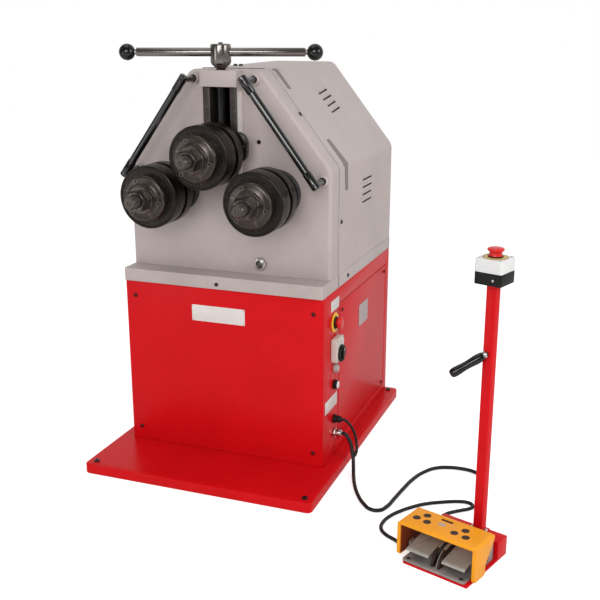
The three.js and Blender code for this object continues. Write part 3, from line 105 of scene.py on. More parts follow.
class Slot(Enum):
    """The record's material slots."""

    RED = "red_paint"
    GREY = "grey_paint"
    BLACKENED = "burnished_steel"
    BRIGHT = "bright_steel"
    IRON = "cast_iron"
    BRONZE = "bronze"
    BLACK = "black_plastic"
    WHITE = "white_plastic"
    LIGHT_GREY = "grey_plastic"
    RED_PLASTIC = "red_plastic"
    YELLOW = "yellow_plastic"
    ZINC = "zinc_plate"
    RUBBER = "cable_jacket"


class Bench:
    """The modelling steps that the pieces are made with, as by hand."""

    @staticmethod
    def clear() -> None:
        """Leaves edit mode and deselects everything."""
        if bpy.context.mode != "OBJECT":
            bpy.ops.object.mode_set(mode="OBJECT")
        bpy.ops.object.select_all(action="DESELECT")

    @staticmethod
    def take(piece: Piece) -> None:
        """Makes a piece the only selected and active one."""
        Bench.clear()
        piece.select_set(True)
        bpy.context.view_layer.objects.active = piece

    @staticmethod
    def enter(piece: Piece) -> None:
        """Opens a piece in edit mode with all of it selected."""
        Bench.take(piece)
        bpy.ops.object.mode_set(mode="EDIT")
        bpy.ops.mesh.select_all(action="SELECT")

    @staticmethod
    def pick(piece: Piece, kind: str, test: Callable[[Vector, Vector], bool]) -> None:
        """Selects elements of a piece in edit mode.

        Args:
            piece: The piece that is in edit mode.
            kind: VERT, EDGE or FACE.
            test: Takes an element's middle and its normal, or an edge's direction, and says if it is picked.
        """
        bpy.ops.mesh.select_mode(type=kind)
        bpy.ops.mesh.select_all(action="DESELECT")
        mesh = bmesh.from_edit_mesh(piece.data)
        if kind == "VERT":
            rows = [(v, v.co, v.normal) for v in mesh.verts]
        elif kind == "EDGE":
            ends = [(e, e.verts[0].co, e.verts[1].co) for e in mesh.edges]
            rows = [(e, (start + end) / 2, end - start) for e, start, end in ends]
        else:
            rows = [(f, f.calc_center_median(), f.normal) for f in mesh.faces]
        for element, middle, normal in rows:
            if test(middle, normal):
                element.select_set(True)
        mesh.select_flush_mode()
        bmesh.update_edit_mesh(piece.data)

    @staticmethod
    def chain(name: str, points: list[Vector]) -> Piece:
        """Draws points as one closed chain of edges by extruding a vertex, and stays in edit mode.

        Args:
            name: The new piece's name.
            points: The chain's points in order.

        Returns:
            The new piece.
        """
        Bench.clear()
        bpy.ops.mesh.primitive_plane_add(size=0.001, location=points[0])
        piece = bpy.context.object
        piece.name = name
        bpy.ops.object.mode_set(mode="EDIT")
        bpy.ops.mesh.select_all(action="SELECT")
        bpy.ops.mesh.merge(type="CENTER")
        for start, end in zip(points, points[1:]):
            bpy.ops.mesh.extrude_vertices_move(TRANSFORM_OT_translate={"value": end - start})
        return piece

    @staticmethod
    def close(piece: Piece) -> None:
        """Joins the two loose ends of a chain with an edge and selects all of it."""
        bpy.ops.mesh.select_mode(type="VERT")
        bpy.ops.mesh.select_all(action="DESELECT")
        mesh = bmesh.from_edit_mesh(piece.data)
        for vertex in mesh.verts:
            vertex.select_set(len(vertex.link_edges) == 1)
        bmesh.update_edit_mesh(piece.data)
        bpy.ops.mesh.edge_face_add()
        bpy.ops.mesh.select_all(action="SELECT")

    @staticmethod
    def done(piece: Piece) -> Piece:
        """Merges doubles, turns the faces outwards and puts the object at the origin."""
        bpy.ops.mesh.select_mode(type="VERT")
        bpy.ops.mesh.select_all(action="SELECT")
        bpy.ops.mesh.remove_doubles(threshold=1e-5)
        bpy.ops.mesh.normals_make_consistent(inside=False)
        Bench.take(piece)
        bpy.ops.object.transform_apply(location=True, rotation=True, scale=True)
        return piece

    @staticmethod
    def turned(
        name: str, profile: Profile, way: Way = Way.Z, cross: Cross = ORIGIN, steps: int = ROUND,
        ring: bool = False,
    ) -> Piece:
        """Turns a profile about an axis.

        Args:
            name: The new piece's name.
            profile: Points as (radius, place along the axis).
            way: The axis.
            cross: The axis's two cross coordinates.
            steps: Sides of the round.
            ring: True where the profile is closed round a bore.

        Returns:
            The new piece.
        """
        places = [way.point((cross[0] + radius, cross[1]), along) for radius, along in profile]
        piece = Bench.chain(name, places)
        if ring:
            Bench.close(piece)
        bpy.ops.mesh.select_all(action="SELECT")
        bpy.ops.mesh.spin(steps=steps, angle=math.tau, center=way.point(cross, 0.0), axis=way.value)
        return Bench.done(piece)

    @staticmethod
    def rod(
        name: str, radius: float, low: float, high: float, way: Way = Way.Z, cross: Cross = ORIGIN,
        steps: int = ROUND,
    ) -> Piece:
        """Makes a plain round bar between two places along an axis."""
        return Bench.turned(name, [(0.0, low), (radius, low), (radius, high), (0.0, high)], way, cross, steps)

    @staticmethod
    def plate(
        name: str,
        outline: list[Cross],
        way: Way,
        low: float,
        high: float,
        corner: float = 0.0,
        rounded: Callable[[Vector, Vector], bool] | None = None,
    ) -> Piece:
        """Draws an outline, rounds its corners and extrudes it.

        Args:
            name: The new piece's name.
            outline: Corners by their two cross coordinates.
            way: The axis of the extrusion.
            low: Where it starts along the axis.
            high: Where it ends.
            corner: Radius of the corners, or 0.
            rounded: Says which corners are rounded, all if left out.

        Returns:
            The new piece.
        """
        piece = Bench.chain(name, [way.point(spot, low) for spot in outline])
        Bench.close(piece)
        bpy.ops.mesh.edge_face_add()
        shift = way.point(outline[0], low)
        if corner:
            Bench.pick(piece, "VERT", lambda at, n: rounded is None or rounded(at + shift, n))
            bpy.ops.mesh.bevel(offset=corner, segments=CORNER_STEPS, affect="VERTICES")
        bpy.ops.mesh.select_all(action="SELECT")
        step = Vector(way.value) * (high - low)
        bpy.ops.mesh.extrude_region_move(TRANSFORM_OT_translate={"value": step})
        return Bench.done(piece)

    @staticmethod
    def block(name: str, low: Iterable[float], high: Iterable[float]) -> Piece:
        """Makes a box between two corners."""
        a, b = Vector(low), Vector(high)
        Bench.clear()
        bpy.ops.mesh.primitive_cube_add(size=1.0, location=(a + b) / 2, scale=b - a)
        piece = bpy.context.object
        piece.name = name
        bpy.ops.object.transform_apply(location=True, rotation=True, scale=True)
        return piece

    @staticmethod
    def modified(piece: Piece, kind: str, **settings: object) -> Piece:
        """Adds a modifier to a piece and applies it."""
        Bench.take(piece)
        bpy.ops.object.modifier_add(type=kind)
        modifier = piece.modifiers[-1]
        for key, value in settings.items():
            setattr(modifier, key, value)
        bpy.ops.object.modifier_apply(modifier=modifier.name)
        return piece

    @staticmethod
    def soften(piece: Piece, width: float, segments: int = 3, angle: float = 32.0) -> Piece:
        """Rounds the sharp edges of a piece and shades it smooth between them."""
        Bench.modified(
            piece, "BEVEL", width=width, segments=segments, limit_method="ANGLE",
            angle_limit=math.radians(angle), use_clamp_overlap=True, miter_outer="MITER_ARC",
        )
        return Bench.shade(piece)

    @staticmethod
    def shade(piece: Piece, angle: float = 34.0) -> Piece:
        """Shades a piece smooth, apart from its sharp edges."""
        Bench.take(piece)
        bpy.ops.object.shade_smooth_by_angle(angle=math.radians(angle))
        return piece

    @staticmethod
    def level(piece: Piece) -> Piece:
        """Lets the large flat faces of a piece set the shading where they meet rounded ones."""
        return Bench.modified(piece, "WEIGHTED_NORMAL", keep_sharp=True)

    @staticmethod
    def combine(piece: Piece, operation: str, *tools: Piece) -> Piece:
        """Cuts, unites or intersects a piece with others, which are used up."""
        for tool in tools:
            Bench.modified(piece, "BOOLEAN", operation=operation, solver="EXACT", object=tool)
            bpy.data.objects.remove(tool)
        return piece

    @staticmethod
    def cut(piece: Piece, *tools: Piece) -> Piece:
        """Cuts tools out of a piece."""
        return Bench.combine(piece, "DIFFERENCE", *tools)

    @staticmethod
    def fuse(piece: Piece, *others: Piece) -> Piece:
        """Unites a piece with others into one closed body."""
        return Bench.combine(piece, "UNION", *others)

    @staticmethod
    def join(name: str, pieces: list[Piece]) -> Piece:
        """Joins separate pieces into one object."""
        Bench.clear()
        for piece in pieces:
            piece.select_set(True)
        bpy.context.view_layer.objects.active = pieces[0]
        bpy.ops.object.join()
        pieces[0].name = name
        return pieces[0]

    @staticmethod
    def moved(piece: Piece, matrix: Matrix) -> Piece:
        """Moves a piece by a matrix that goes into its mesh."""
        Bench.take(piece)
        piece.matrix_world = matrix @ piece.matrix_world
        bpy.ops.object.transform_apply(location=True, rotation=True, scale=True)
        if matrix.determinant() < 0:
            Bench.enter(piece)
            bpy.ops.mesh.normals_make_consistent(inside=False)
            bpy.ops.object.mode_set(mode="OBJECT")
        return piece

    @staticmethod
    def copied(piece: Piece, name: str, matrix: Matrix) -> Piece:
        """Makes a copy with its own mesh, placed by a matrix."""
        Bench.take(piece)
        bpy.ops.object.duplicate()
        twin = bpy.context.object
        twin.name = name
        return Bench.moved(twin, matrix)

    @staticmethod
    def scattered(model: Piece, name: str, places: list[Matrix]) -> Piece:
        """Copies a model to every place, joins the copies and removes the model."""
        copies = [Bench.copied(model, name, place) for place in places]
        bpy.data.objects.remove(model)
        return Bench.join(name, copies) if len(copies) > 1 else copies[0]


def facing(place: Iterable[float], direction: Iterable[float]) -> Matrix:
    """Returns the matrix that moves a piece at the origin, which points to +Z, to a place and direction."""
    turn = Vector(direction).to_track_quat("Z", "Y").to_matrix().to_4x4()
    return Matrix.Translation(Vector(place)) @ turn


def beside(name: str, side: int, xs: Cross, ys: Cross, zs: Cross) -> Piece:
    """Makes a box on one side of the machine.

    Args:
        name: The new piece's name.
        side: 1 for the right, -1 for the left.
        xs: Its distances from the middle plane.
        ys: Where it starts and ends along Y.
        zs: Its bottom and top.

    Returns:
        The box.
    """
    left, right = sorted(side * x for x in xs)
    return Bench.block(name, (left, ys[0], zs[0]), (right, ys[1], zs[1]))


def on_front(spots: Iterable[Cross], y: float) -> list[Matrix]:
    """Returns places on a face at Y, by their X and Z, that point to the front."""
    return [facing((x, y, z), (0, -1, 0)) for x, z in spots]


def hexagon(radius: float, centre: Cross = ORIGIN, turn: float = 0.0) -> list[Cross]:
    """Returns the corners of a hexagon."""
    angles = [turn + i * math.pi / 3 for i in range(6)]
    return [(centre[0] + radius * math.cos(a), centre[1] + radius * math.sin(a)) for a in angles]


def rectangle(left: float, right: float, low: float, high: float) -> list[Cross]:
    """Returns the corners of an upright rectangle."""
    return [(left, low), (right, low), (right, high), (left, high)]


def head_outline(inset: float, bottom: float) -> list[Cross]:
    """Returns the head's outline in X and Z, moved inwards at its sides, slopes and top."""
    rise, run = HEAD_TOP - SHOULDER_Z, CABINET_SIDE - HEAD_TOP_X
    slope = math.hypot(rise, run)
    x1, z1 = CABINET_SIDE - inset, SHOULDER_Z - inset * (slope - rise) / run
    x2, z2 = HEAD_TOP_X - inset * (slope - run) / rise, HEAD_TOP - inset
    return [(-x1, bottom), (x1, bottom), (x1, z1), (x2, z2), (-x2, z2), (-x1, z1)]


def thread(crest: float, depth: float, start: float, end: float, pitch: float) -> Profile:
    """Returns the profile of a turned thread from start to end."""
    count = max(1, int(abs(end - start) / pitch))
    step = (end - start) / count
    rows: Profile = []
    for i in range(count):
        at = start + i * step
        rows += [(crest - depth, at), (crest, at + step * 0.35), (crest, at + step * 0.65)]
    return rows + [(crest - depth, end)]


@dataclass
class Wiring:
    """Adds nodes to one tree and joins them.

    Attributes:
        tree: The material's or group's node tree.
    """

    tree: bpy.types.NodeTree

    def feed(self, target: Socket, value: object) -> None:
        """Links a socket to an input, or sets the input to a value."""
        if isinstance(value, Socket):
            self.tree.links.new(value, target)
        else:
            target.default_value = value

    def node(self, kind: str, inputs: Inputs | None = None, **settings: object) -> bpy.types.Node:
        """Adds a node.

        Args:
            kind: The node's type.
            inputs: Values or sockets for its inputs, by name or number.
            settings: Its own options.

        Returns:
            The new node.
        """
        node = self.tree.nodes.new(kind)
        for key, value in settings.items():
            setattr(node, key, value)
        for key, value in (inputs or {}).items():
            self.feed(node.inputs[key], value)
        return node

    def group(self, tree: bpy.types.NodeTree, inputs: Inputs) -> bpy.types.Node:
        """Adds a shared effect and fills its inputs."""
        return self.node("ShaderNodeGroup", inputs, node_tree=tree)

    def math(self, operation: str, *values: object, clamp: bool = False) -> Socket:
        """Adds a Math node and returns its result."""
        inputs = dict(enumerate(values))
        return self.node("ShaderNodeMath", inputs, operation=operation, use_clamp=clamp).outputs[0]

    def noise(self, vector: object, scale: object, detail: float = 2.0) -> Socket:
        """Adds a noise of a scale and returns its value."""
        inputs = {"Vector": vector, "Scale": scale, "Detail": detail, "Roughness": 0.5}
        return self.node("ShaderNodeTexNoise", inputs).outputs["Fac"]

    def ramp(self, value: object, low: float, high: float) -> Socket:
        """Returns a smooth step of a value from 0 at low to 1 at high."""
        inputs = {"Value": value, "From Min": low, "From Max": high}
        return self.node("ShaderNodeMapRange", inputs, interpolation_type="SMOOTHSTEP").outputs["Result"]

    def mix(self, factor: object, first: object, second: object) -> Socket:
        """Mixes two colours and returns the result."""
        node = self.node("ShaderNodeMix", {0: factor}, data_type="RGBA")
        for number, value in ((6, first), (7, second)):
            self.feed(node.inputs[number], value if isinstance(value, Socket) else (*value, 1.0))
        return node.outputs[2]


Fill = Callable[[Wiring, bpy.types.Node], list[object]]


class Effects:
    """Shader node groups that several finishes share, each built once."""

    def __init__(self) -> None:
        self.mottle = self._group("mottle", ["Vector", "Scale"], ["Value"], self._fill_mottle)
        self.grain = self._group("surface_grain", ["Vector", "Scale"], ["Height"], self._fill_grain)
        self.edges = self._group("edge_wear", ["Vector"], ["Mask"], self._fill_edges)
        self.dust = self._group("settled_dust", ["Vector"], ["Mask"], self._fill_dust)
        self.rings = self._group("turned_rings", ["Vector", "Scale"], ["Height", "Value"], self._fill_rings)

    @staticmethod
    def _group(name: str, inputs: list[str], outputs: list[str], fill: Fill) -> bpy.types.NodeTree:
        """Makes a node group.

        Args:
            name: Its name.
            inputs: Its input sockets, of which Vector is a vector and the rest are values.
            outputs: Its output sockets, which are values.
            fill: Adds the nodes and returns what goes to the outputs.

        Returns:
            The group.
        """
        tree = bpy.data.node_groups.new(name, "ShaderNodeTree")
        for label in inputs:
            kind = "NodeSocketVector" if label == "Vector" else "NodeSocketFloat"
            tree.interface.new_socket(label, in_out="INPUT", socket_type=kind)
        for label in outputs:
            tree.interface.new_socket(label, in_out="OUTPUT", socket_type="NodeSocketFloat")
        wiring = Wiring(tree)
        given = wiring.node("NodeGroupInput")
        results = fill(wiring, given)
        wiring.node("NodeGroupOutput", dict(zip(outputs, results)))
        return tree

    @staticmethod
    def _fill_mottle(wiring: Wiring, given: bpy.types.Node) -> list[object]:
        """Adds a broad and a small noise together."""
        broad = wiring.noise(given.outputs["Vector"], given.outputs["Scale"], 3.0)
        small_scale = wiring.math("MULTIPLY", given.outputs["Scale"], 6.3)
        small = wiring.noise(given.outputs["Vector"], small_scale, 2.0)
        return [wiring.math("ADD", wiring.math("MULTIPLY", broad, 0.7), wiring.math("MULTIPLY", small, 0.3))]

    @staticmethod
    def _fill_grain(wiring: Wiring, given: bpy.types.Node) -> list[object]:
        """Makes the fine unevenness of paint, castings and moulded plastic."""
        return [wiring.noise(given.outputs["Vector"], given.outputs["Scale"], 2.5)]

    @staticmethod
    def _fill_edges(wiring: Wiring, given: bpy.types.Node) -> list[object]:
        """Marks convex edges, broken up by noise."""
        point = wiring.node("ShaderNodeNewGeometry").outputs["Pointiness"]
        broken = wiring.noise(given.outputs["Vector"], 90.0, 3.0)
        lowered = wiring.math("SUBTRACT", point, wiring.math("MULTIPLY", broken, 0.08))
        return [wiring.ramp(lowered, 0.49, 0.56)]

    @staticmethod
    def _fill_dust(wiring: Wiring, given: bpy.types.Node) -> list[object]:
        """Marks upward faces in soft patches."""
        normal = wiring.node("ShaderNodeNewGeometry").outputs["Normal"]
        upward = wiring.node("ShaderNodeSeparateXYZ", {0: normal}).outputs["Z"]
        patches = wiring.noise(given.outputs["Vector"], 14.0, 4.0)
        return [wiring.math("MULTIPLY", wiring.ramp(upward, 0.6, 1.0), wiring.ramp(patches, 0.4, 0.75))]

    @staticmethod
    def _fill_rings(wiring: Wiring, given: bpy.types.Node) -> list[object]:
        """Makes the rings that a lathe leaves about the local Y axis."""
        parts = wiring.node("ShaderNodeSeparateXYZ", {0: given.outputs["Vector"]})
        x, y, z = (parts.outputs[i] for i in range(3))
        squares = wiring.math("ADD", wiring.math("MULTIPLY", x, x), wiring.math("MULTIPLY", z, z))
        radius = wiring.math("SQRT", squares)
        place = wiring.node("ShaderNodeCombineXYZ", {0: radius, 1: y}).outputs[0]
        fine = wiring.noise(place, given.outputs["Scale"], 1.0)
        coarse = wiring.noise(place, wiring.math("MULTIPLY", given.outputs["Scale"], 0.12), 1.0)
        return [fine, coarse]


DUST_COLOUR = (0.42, 0.40, 0.38)


@dataclass(frozen=True)
class Finish:
    """A painted, moulded or cast surface.

    Attributes:
        name: The material's name.
        slot: The record's slot that it stands for.
        colour: Its linear colour.
        roughness: Its mean roughness.
        metallic: 1 for bare metal.
        coat: Weight of a clear coat.
        specular: The shader's specular level.
        shift: How far the colour and roughness wander.
        patch: Frequency of that wandering, per metre.
        grain: Frequency of the fine relief, per metre.
        relief: Depth of the fine relief in metres.
        wear: How strongly convex edges show.
        worn: Linear colour of a worn edge.
        dust: How much dust lies on upward faces.
    """

    name: str
    slot: Slot
    colour: tuple[float, float, float]
    roughness: float
    metallic: float = 0.0
    coat: float = 0.0
    specular: float = 0.5
    shift: float = 0.10
    patch: float = 6.0
    grain: float = 420.0
    relief: float = 0.00006
    wear: float = 0.0
    worn: tuple[float, float, float] = (0.35, 0.33, 0.32)
    dust: float = 0.0

    def relief_height(self, wiring: Wiring, effects: Effects, place: bpy.types.NodeSocket) -> Socket:
        """Returns the height of the finish's fine relief."""
        return wiring.group(effects.grain, {"Vector": place, "Scale": self.grain}).outputs["Height"]

    def tone(self, wiring: Wiring, effects: Effects, place: bpy.types.NodeSocket) -> Socket:
        """Returns the value that the colour and roughness wander with."""
        return wiring.group(effects.mottle, {"Vector": place, "Scale": self.patch}).outputs["Value"]

    def material(self, effects: Effects, centre: Place = None, turn: Place = None) -> Material:
        """Builds the finish's material.

        Args:
            effects: The shared node groups.
            centre: Where its pattern is centred, or the object's origin.
            turn: The pattern's turn about X, Y and Z, or none.

        Returns:
            The material.
        """
        material = bpy.data.materials.new(self.name)
        material.use_nodes = True
        wiring = Wiring(material.node_tree)
        shader = material.node_tree.nodes["Principled BSDF"]
        place = wiring.node("ShaderNodeTexCoord").outputs["Object"]
        pattern = {"Vector": place, "Location": centre or Vector(), "Rotation": turn or Vector()}
        place = wiring.node("ShaderNodeMapping", pattern, vector_type="TEXTURE").outputs["Vector"]
        tone = self.tone(wiring, effects, place)
        dark = tuple(channel * (1 - self.shift) for channel in self.colour)
        light = tuple(min(1.0, channel * (1 + self.shift)) for channel in self.colour)
        colour = wiring.mix(wiring.ramp(tone, 0.3, 0.7), dark, light)
        if self.wear:
            mask = wiring.group(effects.edges, {"Vector": place}).outputs["Mask"]
            colour = wiring.mix(wiring.math("MULTIPLY", mask, self.wear), colour, self.worn)
        if self.dust:
            mask = wiring.group(effects.dust, {"Vector": place}).outputs["Mask"]
            colour = wiring.mix(wiring.math("MULTIPLY", mask, self.dust), colour, DUST_COLOUR)
        wander = wiring.math("MULTIPLY", wiring.math("SUBTRACT", tone, 0.5), self.shift * 1.5)
        height = self.relief_height(wiring, effects, place)
        bump = wiring.node("ShaderNodeBump", {"Strength": 1.0, "Distance": self.relief, "Height": height})
        values = {
            "Base Color": colour, "Roughness": wiring.math("ADD", wander, self.roughness),
            "Normal": bump.outputs["Normal"], "Metallic": self.metallic, "Specular IOR Level": self.specular,
            "Coat Weight": self.coat, "Coat Roughness": 0.12,
        }
        for name, value in values.items():
            wiring.feed(shader.inputs[name], value)
        return material


@dataclass(frozen=True)
class TurnedSteel(Finish):
    """Steel with the rings of a lathe about the pattern's Y axis.

    Attributes:
        rings: Frequency of the rings, per metre.
    """

    rings: float = 900.0

    def relief_height(self, wiring: Wiring, effects: Effects, place: bpy.types.NodeSocket) -> Socket:
        """Returns the height of the tool marks."""
        return wiring.group(effects.rings, {"Vector": place, "Scale": self.rings}).outputs["Height"]

    def tone(self, wiring: Wiring, effects: Effects, place: bpy.types.NodeSocket) -> Socket:
        """Returns rings and patches together."""
        rings = wiring.group(effects.rings, {"Vector": place, "Scale": self.rings}).outputs["Value"]
        patches = super().tone(wiring, effects, place)
        rings, patches = wiring.math("MULTIPLY", rings, 0.45), wiring.math("MULTIPLY", patches, 0.55)
        return wiring.math("ADD", rings, patches)


class Shop:
    """The finishes of the machine, and the materials already made from them."""

    RED = Finish(
        "red_enamel", Slot.RED, (0.56, 0.0040, 0.0075), 0.32, specular=0.10, shift=0.05, relief=0.00003,
    )
    GREY = Finish(
        "grey_enamel", Slot.GREY, (0.44, 0.378, 0.362), 0.44, specular=0.25, shift=0.05, grain=600.0,
        relief=0.00004, dust=0.05,
    )
    BED = Finish(
        "bed_enamel", Slot.GREY, (0.42, 0.362, 0.345), 0.46, specular=0.25, shift=0.07, grain=500.0,
        dust=0.10,
    )
    ROLL = TurnedSteel(
        "roll_steel", Slot.BLACKENED, (0.026, 0.021, 0.019), 0.32, metallic=0.9, specular=0.3, shift=0.30,
        relief=0.00030, wear=0.30, worn=(0.14, 0.12, 0.11),
    )
    COLLAR = TurnedSteel(
        "collar_steel", Slot.BLACKENED, (0.066, 0.054, 0.048), 0.26, metallic=0.9, specular=0.3, shift=0.30,
        relief=0.00030, wear=0.25, worn=(0.22, 0.19, 0.18),
    )
    BURNISHED = Finish(
        "burnished_bar", Slot.BLACKENED, (0.200, 0.180, 0.170), 0.21, metallic=0.95, shift=0.10, patch=9.0,
        relief=0.000002,
    )
    POLISHED = Finish(
        "polished_rod", Slot.BLACKENED, (0.006, 0.005, 0.0048), 0.12, specular=0.7, shift=0.15, patch=20.0,
        relief=0.000002,
    )
    OILED = Finish(
        "oiled_steel", Slot.BLACKENED, (0.007, 0.006, 0.0055), 0.20, specular=0.55, shift=0.25, grain=260.0,
        relief=0.000008,
    )
    GIB = Finish(
        "gib_steel", Slot.BLACKENED, (0.050, 0.040, 0.036), 0.42, metallic=0.5, specular=0.3, shift=0.30,
        patch=30.0, relief=0.00003,
    )
    # Painted shade: a darker grey for the groove floors, standing in for the shade in the pressed grooves.
    GROOVE_SHADE = Finish("groove_painted_shade", Slot.GREY, (0.20, 0.172, 0.164), 0.55, specular=0.2, shift=0.05)
    PAINTED = Finish("painted_screw", Slot.RED, (0.085, 0.004, 0.004), 0.40, specular=0.25)
    WORN = Finish("worn_steel", Slot.BRIGHT, (0.20, 0.18, 0.17), 0.35, metallic=0.8, shift=0.3, patch=60.0)
    BRIGHT = TurnedSteel(
        "bright_steel", Slot.BRIGHT, (0.50, 0.47, 0.45), 0.28, metallic=1.0, shift=0.12, relief=0.00002,
    )
    SHAFT = TurnedSteel(
        "shaft_steel", Slot.BRIGHT, (0.085, 0.073, 0.066), 0.36, metallic=0.8, shift=0.30, relief=0.00003,
    )
    IRON = Finish(
        "machined_iron", Slot.IRON, (0.045, 0.042, 0.042), 0.48, metallic=0.5, specular=0.3, shift=0.2,
        grain=700.0,
    )
    BRONZE = TurnedSteel("slide_bronze", Slot.BRONZE, (0.42, 0.26, 0.11), 0.36, metallic=0.9, shift=0.15)
    BLACK = Finish(
        "black_moulding", Slot.BLACK, (0.006, 0.0055, 0.005), 0.42, specular=0.2, shift=0.2, grain=900.0,
        relief=0.00002,
    )
    GLOSS_BLACK = Finish(
        "polished_black", Slot.BLACK, (0.004, 0.004, 0.004), 0.14, specular=0.4, shift=0.1, grain=120.0,
        relief=0.00001,
    )
    PALE = Finish("pale_disc", Slot.YELLOW, (0.66, 0.50, 0.17), 0.5, specular=0.3, shift=0.05)
    WHITE = Finish(
        "white_moulding", Slot.WHITE, (0.66, 0.655, 0.65), 0.40, specular=0.3, shift=0.03, grain=900.0,
        relief=0.00003,
    )
    GREY_PLASTIC = Finish(
        "grey_moulding", Slot.LIGHT_GREY, (0.58, 0.52, 0.48), 0.42, specular=0.3, shift=0.05, grain=900.0,
    )
    RED_PLASTIC = Finish(
        "red_moulding", Slot.RED_PLASTIC, (0.58, 0.012, 0.010), 0.28, specular=0.3, shift=0.06,
    )
    YELLOW = Finish(
        "yellow_moulding", Slot.YELLOW, (0.80, 0.31, 0.010), 0.40, specular=0.2, shift=0.07, grain=1100.0,
        relief=0.00006, dust=0.03,
    )
    BADGE_YELLOW = Finish("yellow_disc", Slot.YELLOW, (0.84, 0.50, 0.03), 0.40, specular=0.3, shift=0.04)
    # Painted shade: a dark orange-brown copy of the yellow moulding for the hood's shaded inside.
    SHADED_HOOD_INSIDE = Finish(
        "hood_inside", Slot.YELLOW, (0.22, 0.040, 0.012), 0.55, specular=0.2, shift=0.2, grain=900.0,
    )
    FIN = Finish(
        "brown_moulding", Slot.BLACK, (0.032, 0.014, 0.008), 0.48, specular=0.25, shift=0.25, relief=0.00002,
    )
    ZINC = Finish(
        "zinc_sheet", Slot.ZINC, (0.36, 0.33, 0.31), 0.42, metallic=0.6, specular=0.3, shift=0.16, patch=40.0,
    )
    TREADLE = Finish(
        "treadle_grey", Slot.ZINC, (0.35, 0.32, 0.29), 0.50, metallic=0.2, specular=0.3, shift=0.10,
        patch=20.0,
    )
    RUBBER = Finish(
        "lead_jacket", Slot.RUBBER, (0.006, 0.006, 0.006), 0.46, specular=0.3, shift=0.2, patch=30.0,
        grain=1500.0, relief=0.00003,
    )
    PLATE = Finish(
        "bare_plate", Slot.BRIGHT, (0.68, 0.64, 0.61), 0.36, metallic=0.3, specular=0.3, shift=0.04,
        patch=25.0,
    )
    DULL_PLATE = Finish(
        "dull_plate", Slot.BRIGHT, (0.42, 0.35, 0.34), 0.45, metallic=0.2, specular=0.3, shift=0.06,
        patch=30.0,
    )
    GLASS = Finish("sight_glass", Slot.BRIGHT, (0.05, 0.035, 0.02), 0.08, coat=1.0, shift=0.1)

    def __init__(self) -> None:
        self.effects = Effects()
        self.made: dict[tuple[object, ...], Material] = {}

    def material(self, finish: Finish, centre: Place = None, turn: Place = None) -> Material:
        """Returns a finish's material, made once for each centre and turn of its pattern."""
        key = (finish.name, *(centre or Vector()), *(turn or Vector()))
        if key not in self.made:
            self.made[key] = finish.material(self.effects, centre, turn)
        return self.made[key]


@dataclass
class Assembly:
    """What every sub-assembly shares: the finishes and the way a piece is handed over.

    Attributes:
        shop: The finishes.
    """

    shop: Shop

    def add(
        self,
        piece: Piece,
        finish: Finish,
        body: str = "machine",
        replaces: Iterable[str] = (),
        centre: Place = None,
        turn: Place = None,
    ) -> Piece:
        """Gives a finished piece its material and its place in the machine.

        Args:
            piece: The piece, whose place is in its mesh.
            finish: Its finish.
            body: The body that it moves with.
            replaces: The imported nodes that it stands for.
            centre: Where the finish's pattern is centred.
            turn: The pattern's turn.

        Returns:
            The piece.
        """
        self.coat(piece, finish, centre, turn)
        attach(piece, body)
        if replaces:
            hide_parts(*replaces)
        LOG.info("%s on %s", piece.name, body)
        return piece

    def coat(self, piece: Piece, finish: Finish, centre: Place = None, turn: Place = None) -> None:
        """Gives a piece its only material."""
        piece.data.materials.clear()
        piece.data.materials.append(self.shop.material(finish, centre, turn))

    def dress(self, node: str, finish: Finish, centre: Place = None) -> None:
        """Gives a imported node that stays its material."""
        self.coat(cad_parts[node], finish, centre)
        LOG.info("%s: kept", node)

    def refined(self, node: str, width: float, segments: int = 2) -> Piece:
        """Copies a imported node, merges its triangles into flat faces and rounds its edges.

        Args:
            node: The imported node's name.
            width: Width of the rounded edges.
            segments: Steps of each rounded edge.

        Returns:
            The copy.
        """
        Bench.take(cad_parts[node])
        bpy.ops.object.duplicate()
        piece = bpy.context.object
        piece.name = node + "_shape"
        piece.parent = None
        for key in list(piece.keys()):
            del piece[key]
        Bench.enter(piece)
        bpy.ops.mesh.remove_doubles(threshold=2e-5)
        bpy.ops.mesh.dissolve_limited(angle_limit=math.radians(1.0))
        bpy.ops.object.mode_set(mode="OBJECT")
        return Bench.soften(piece, width, segments)


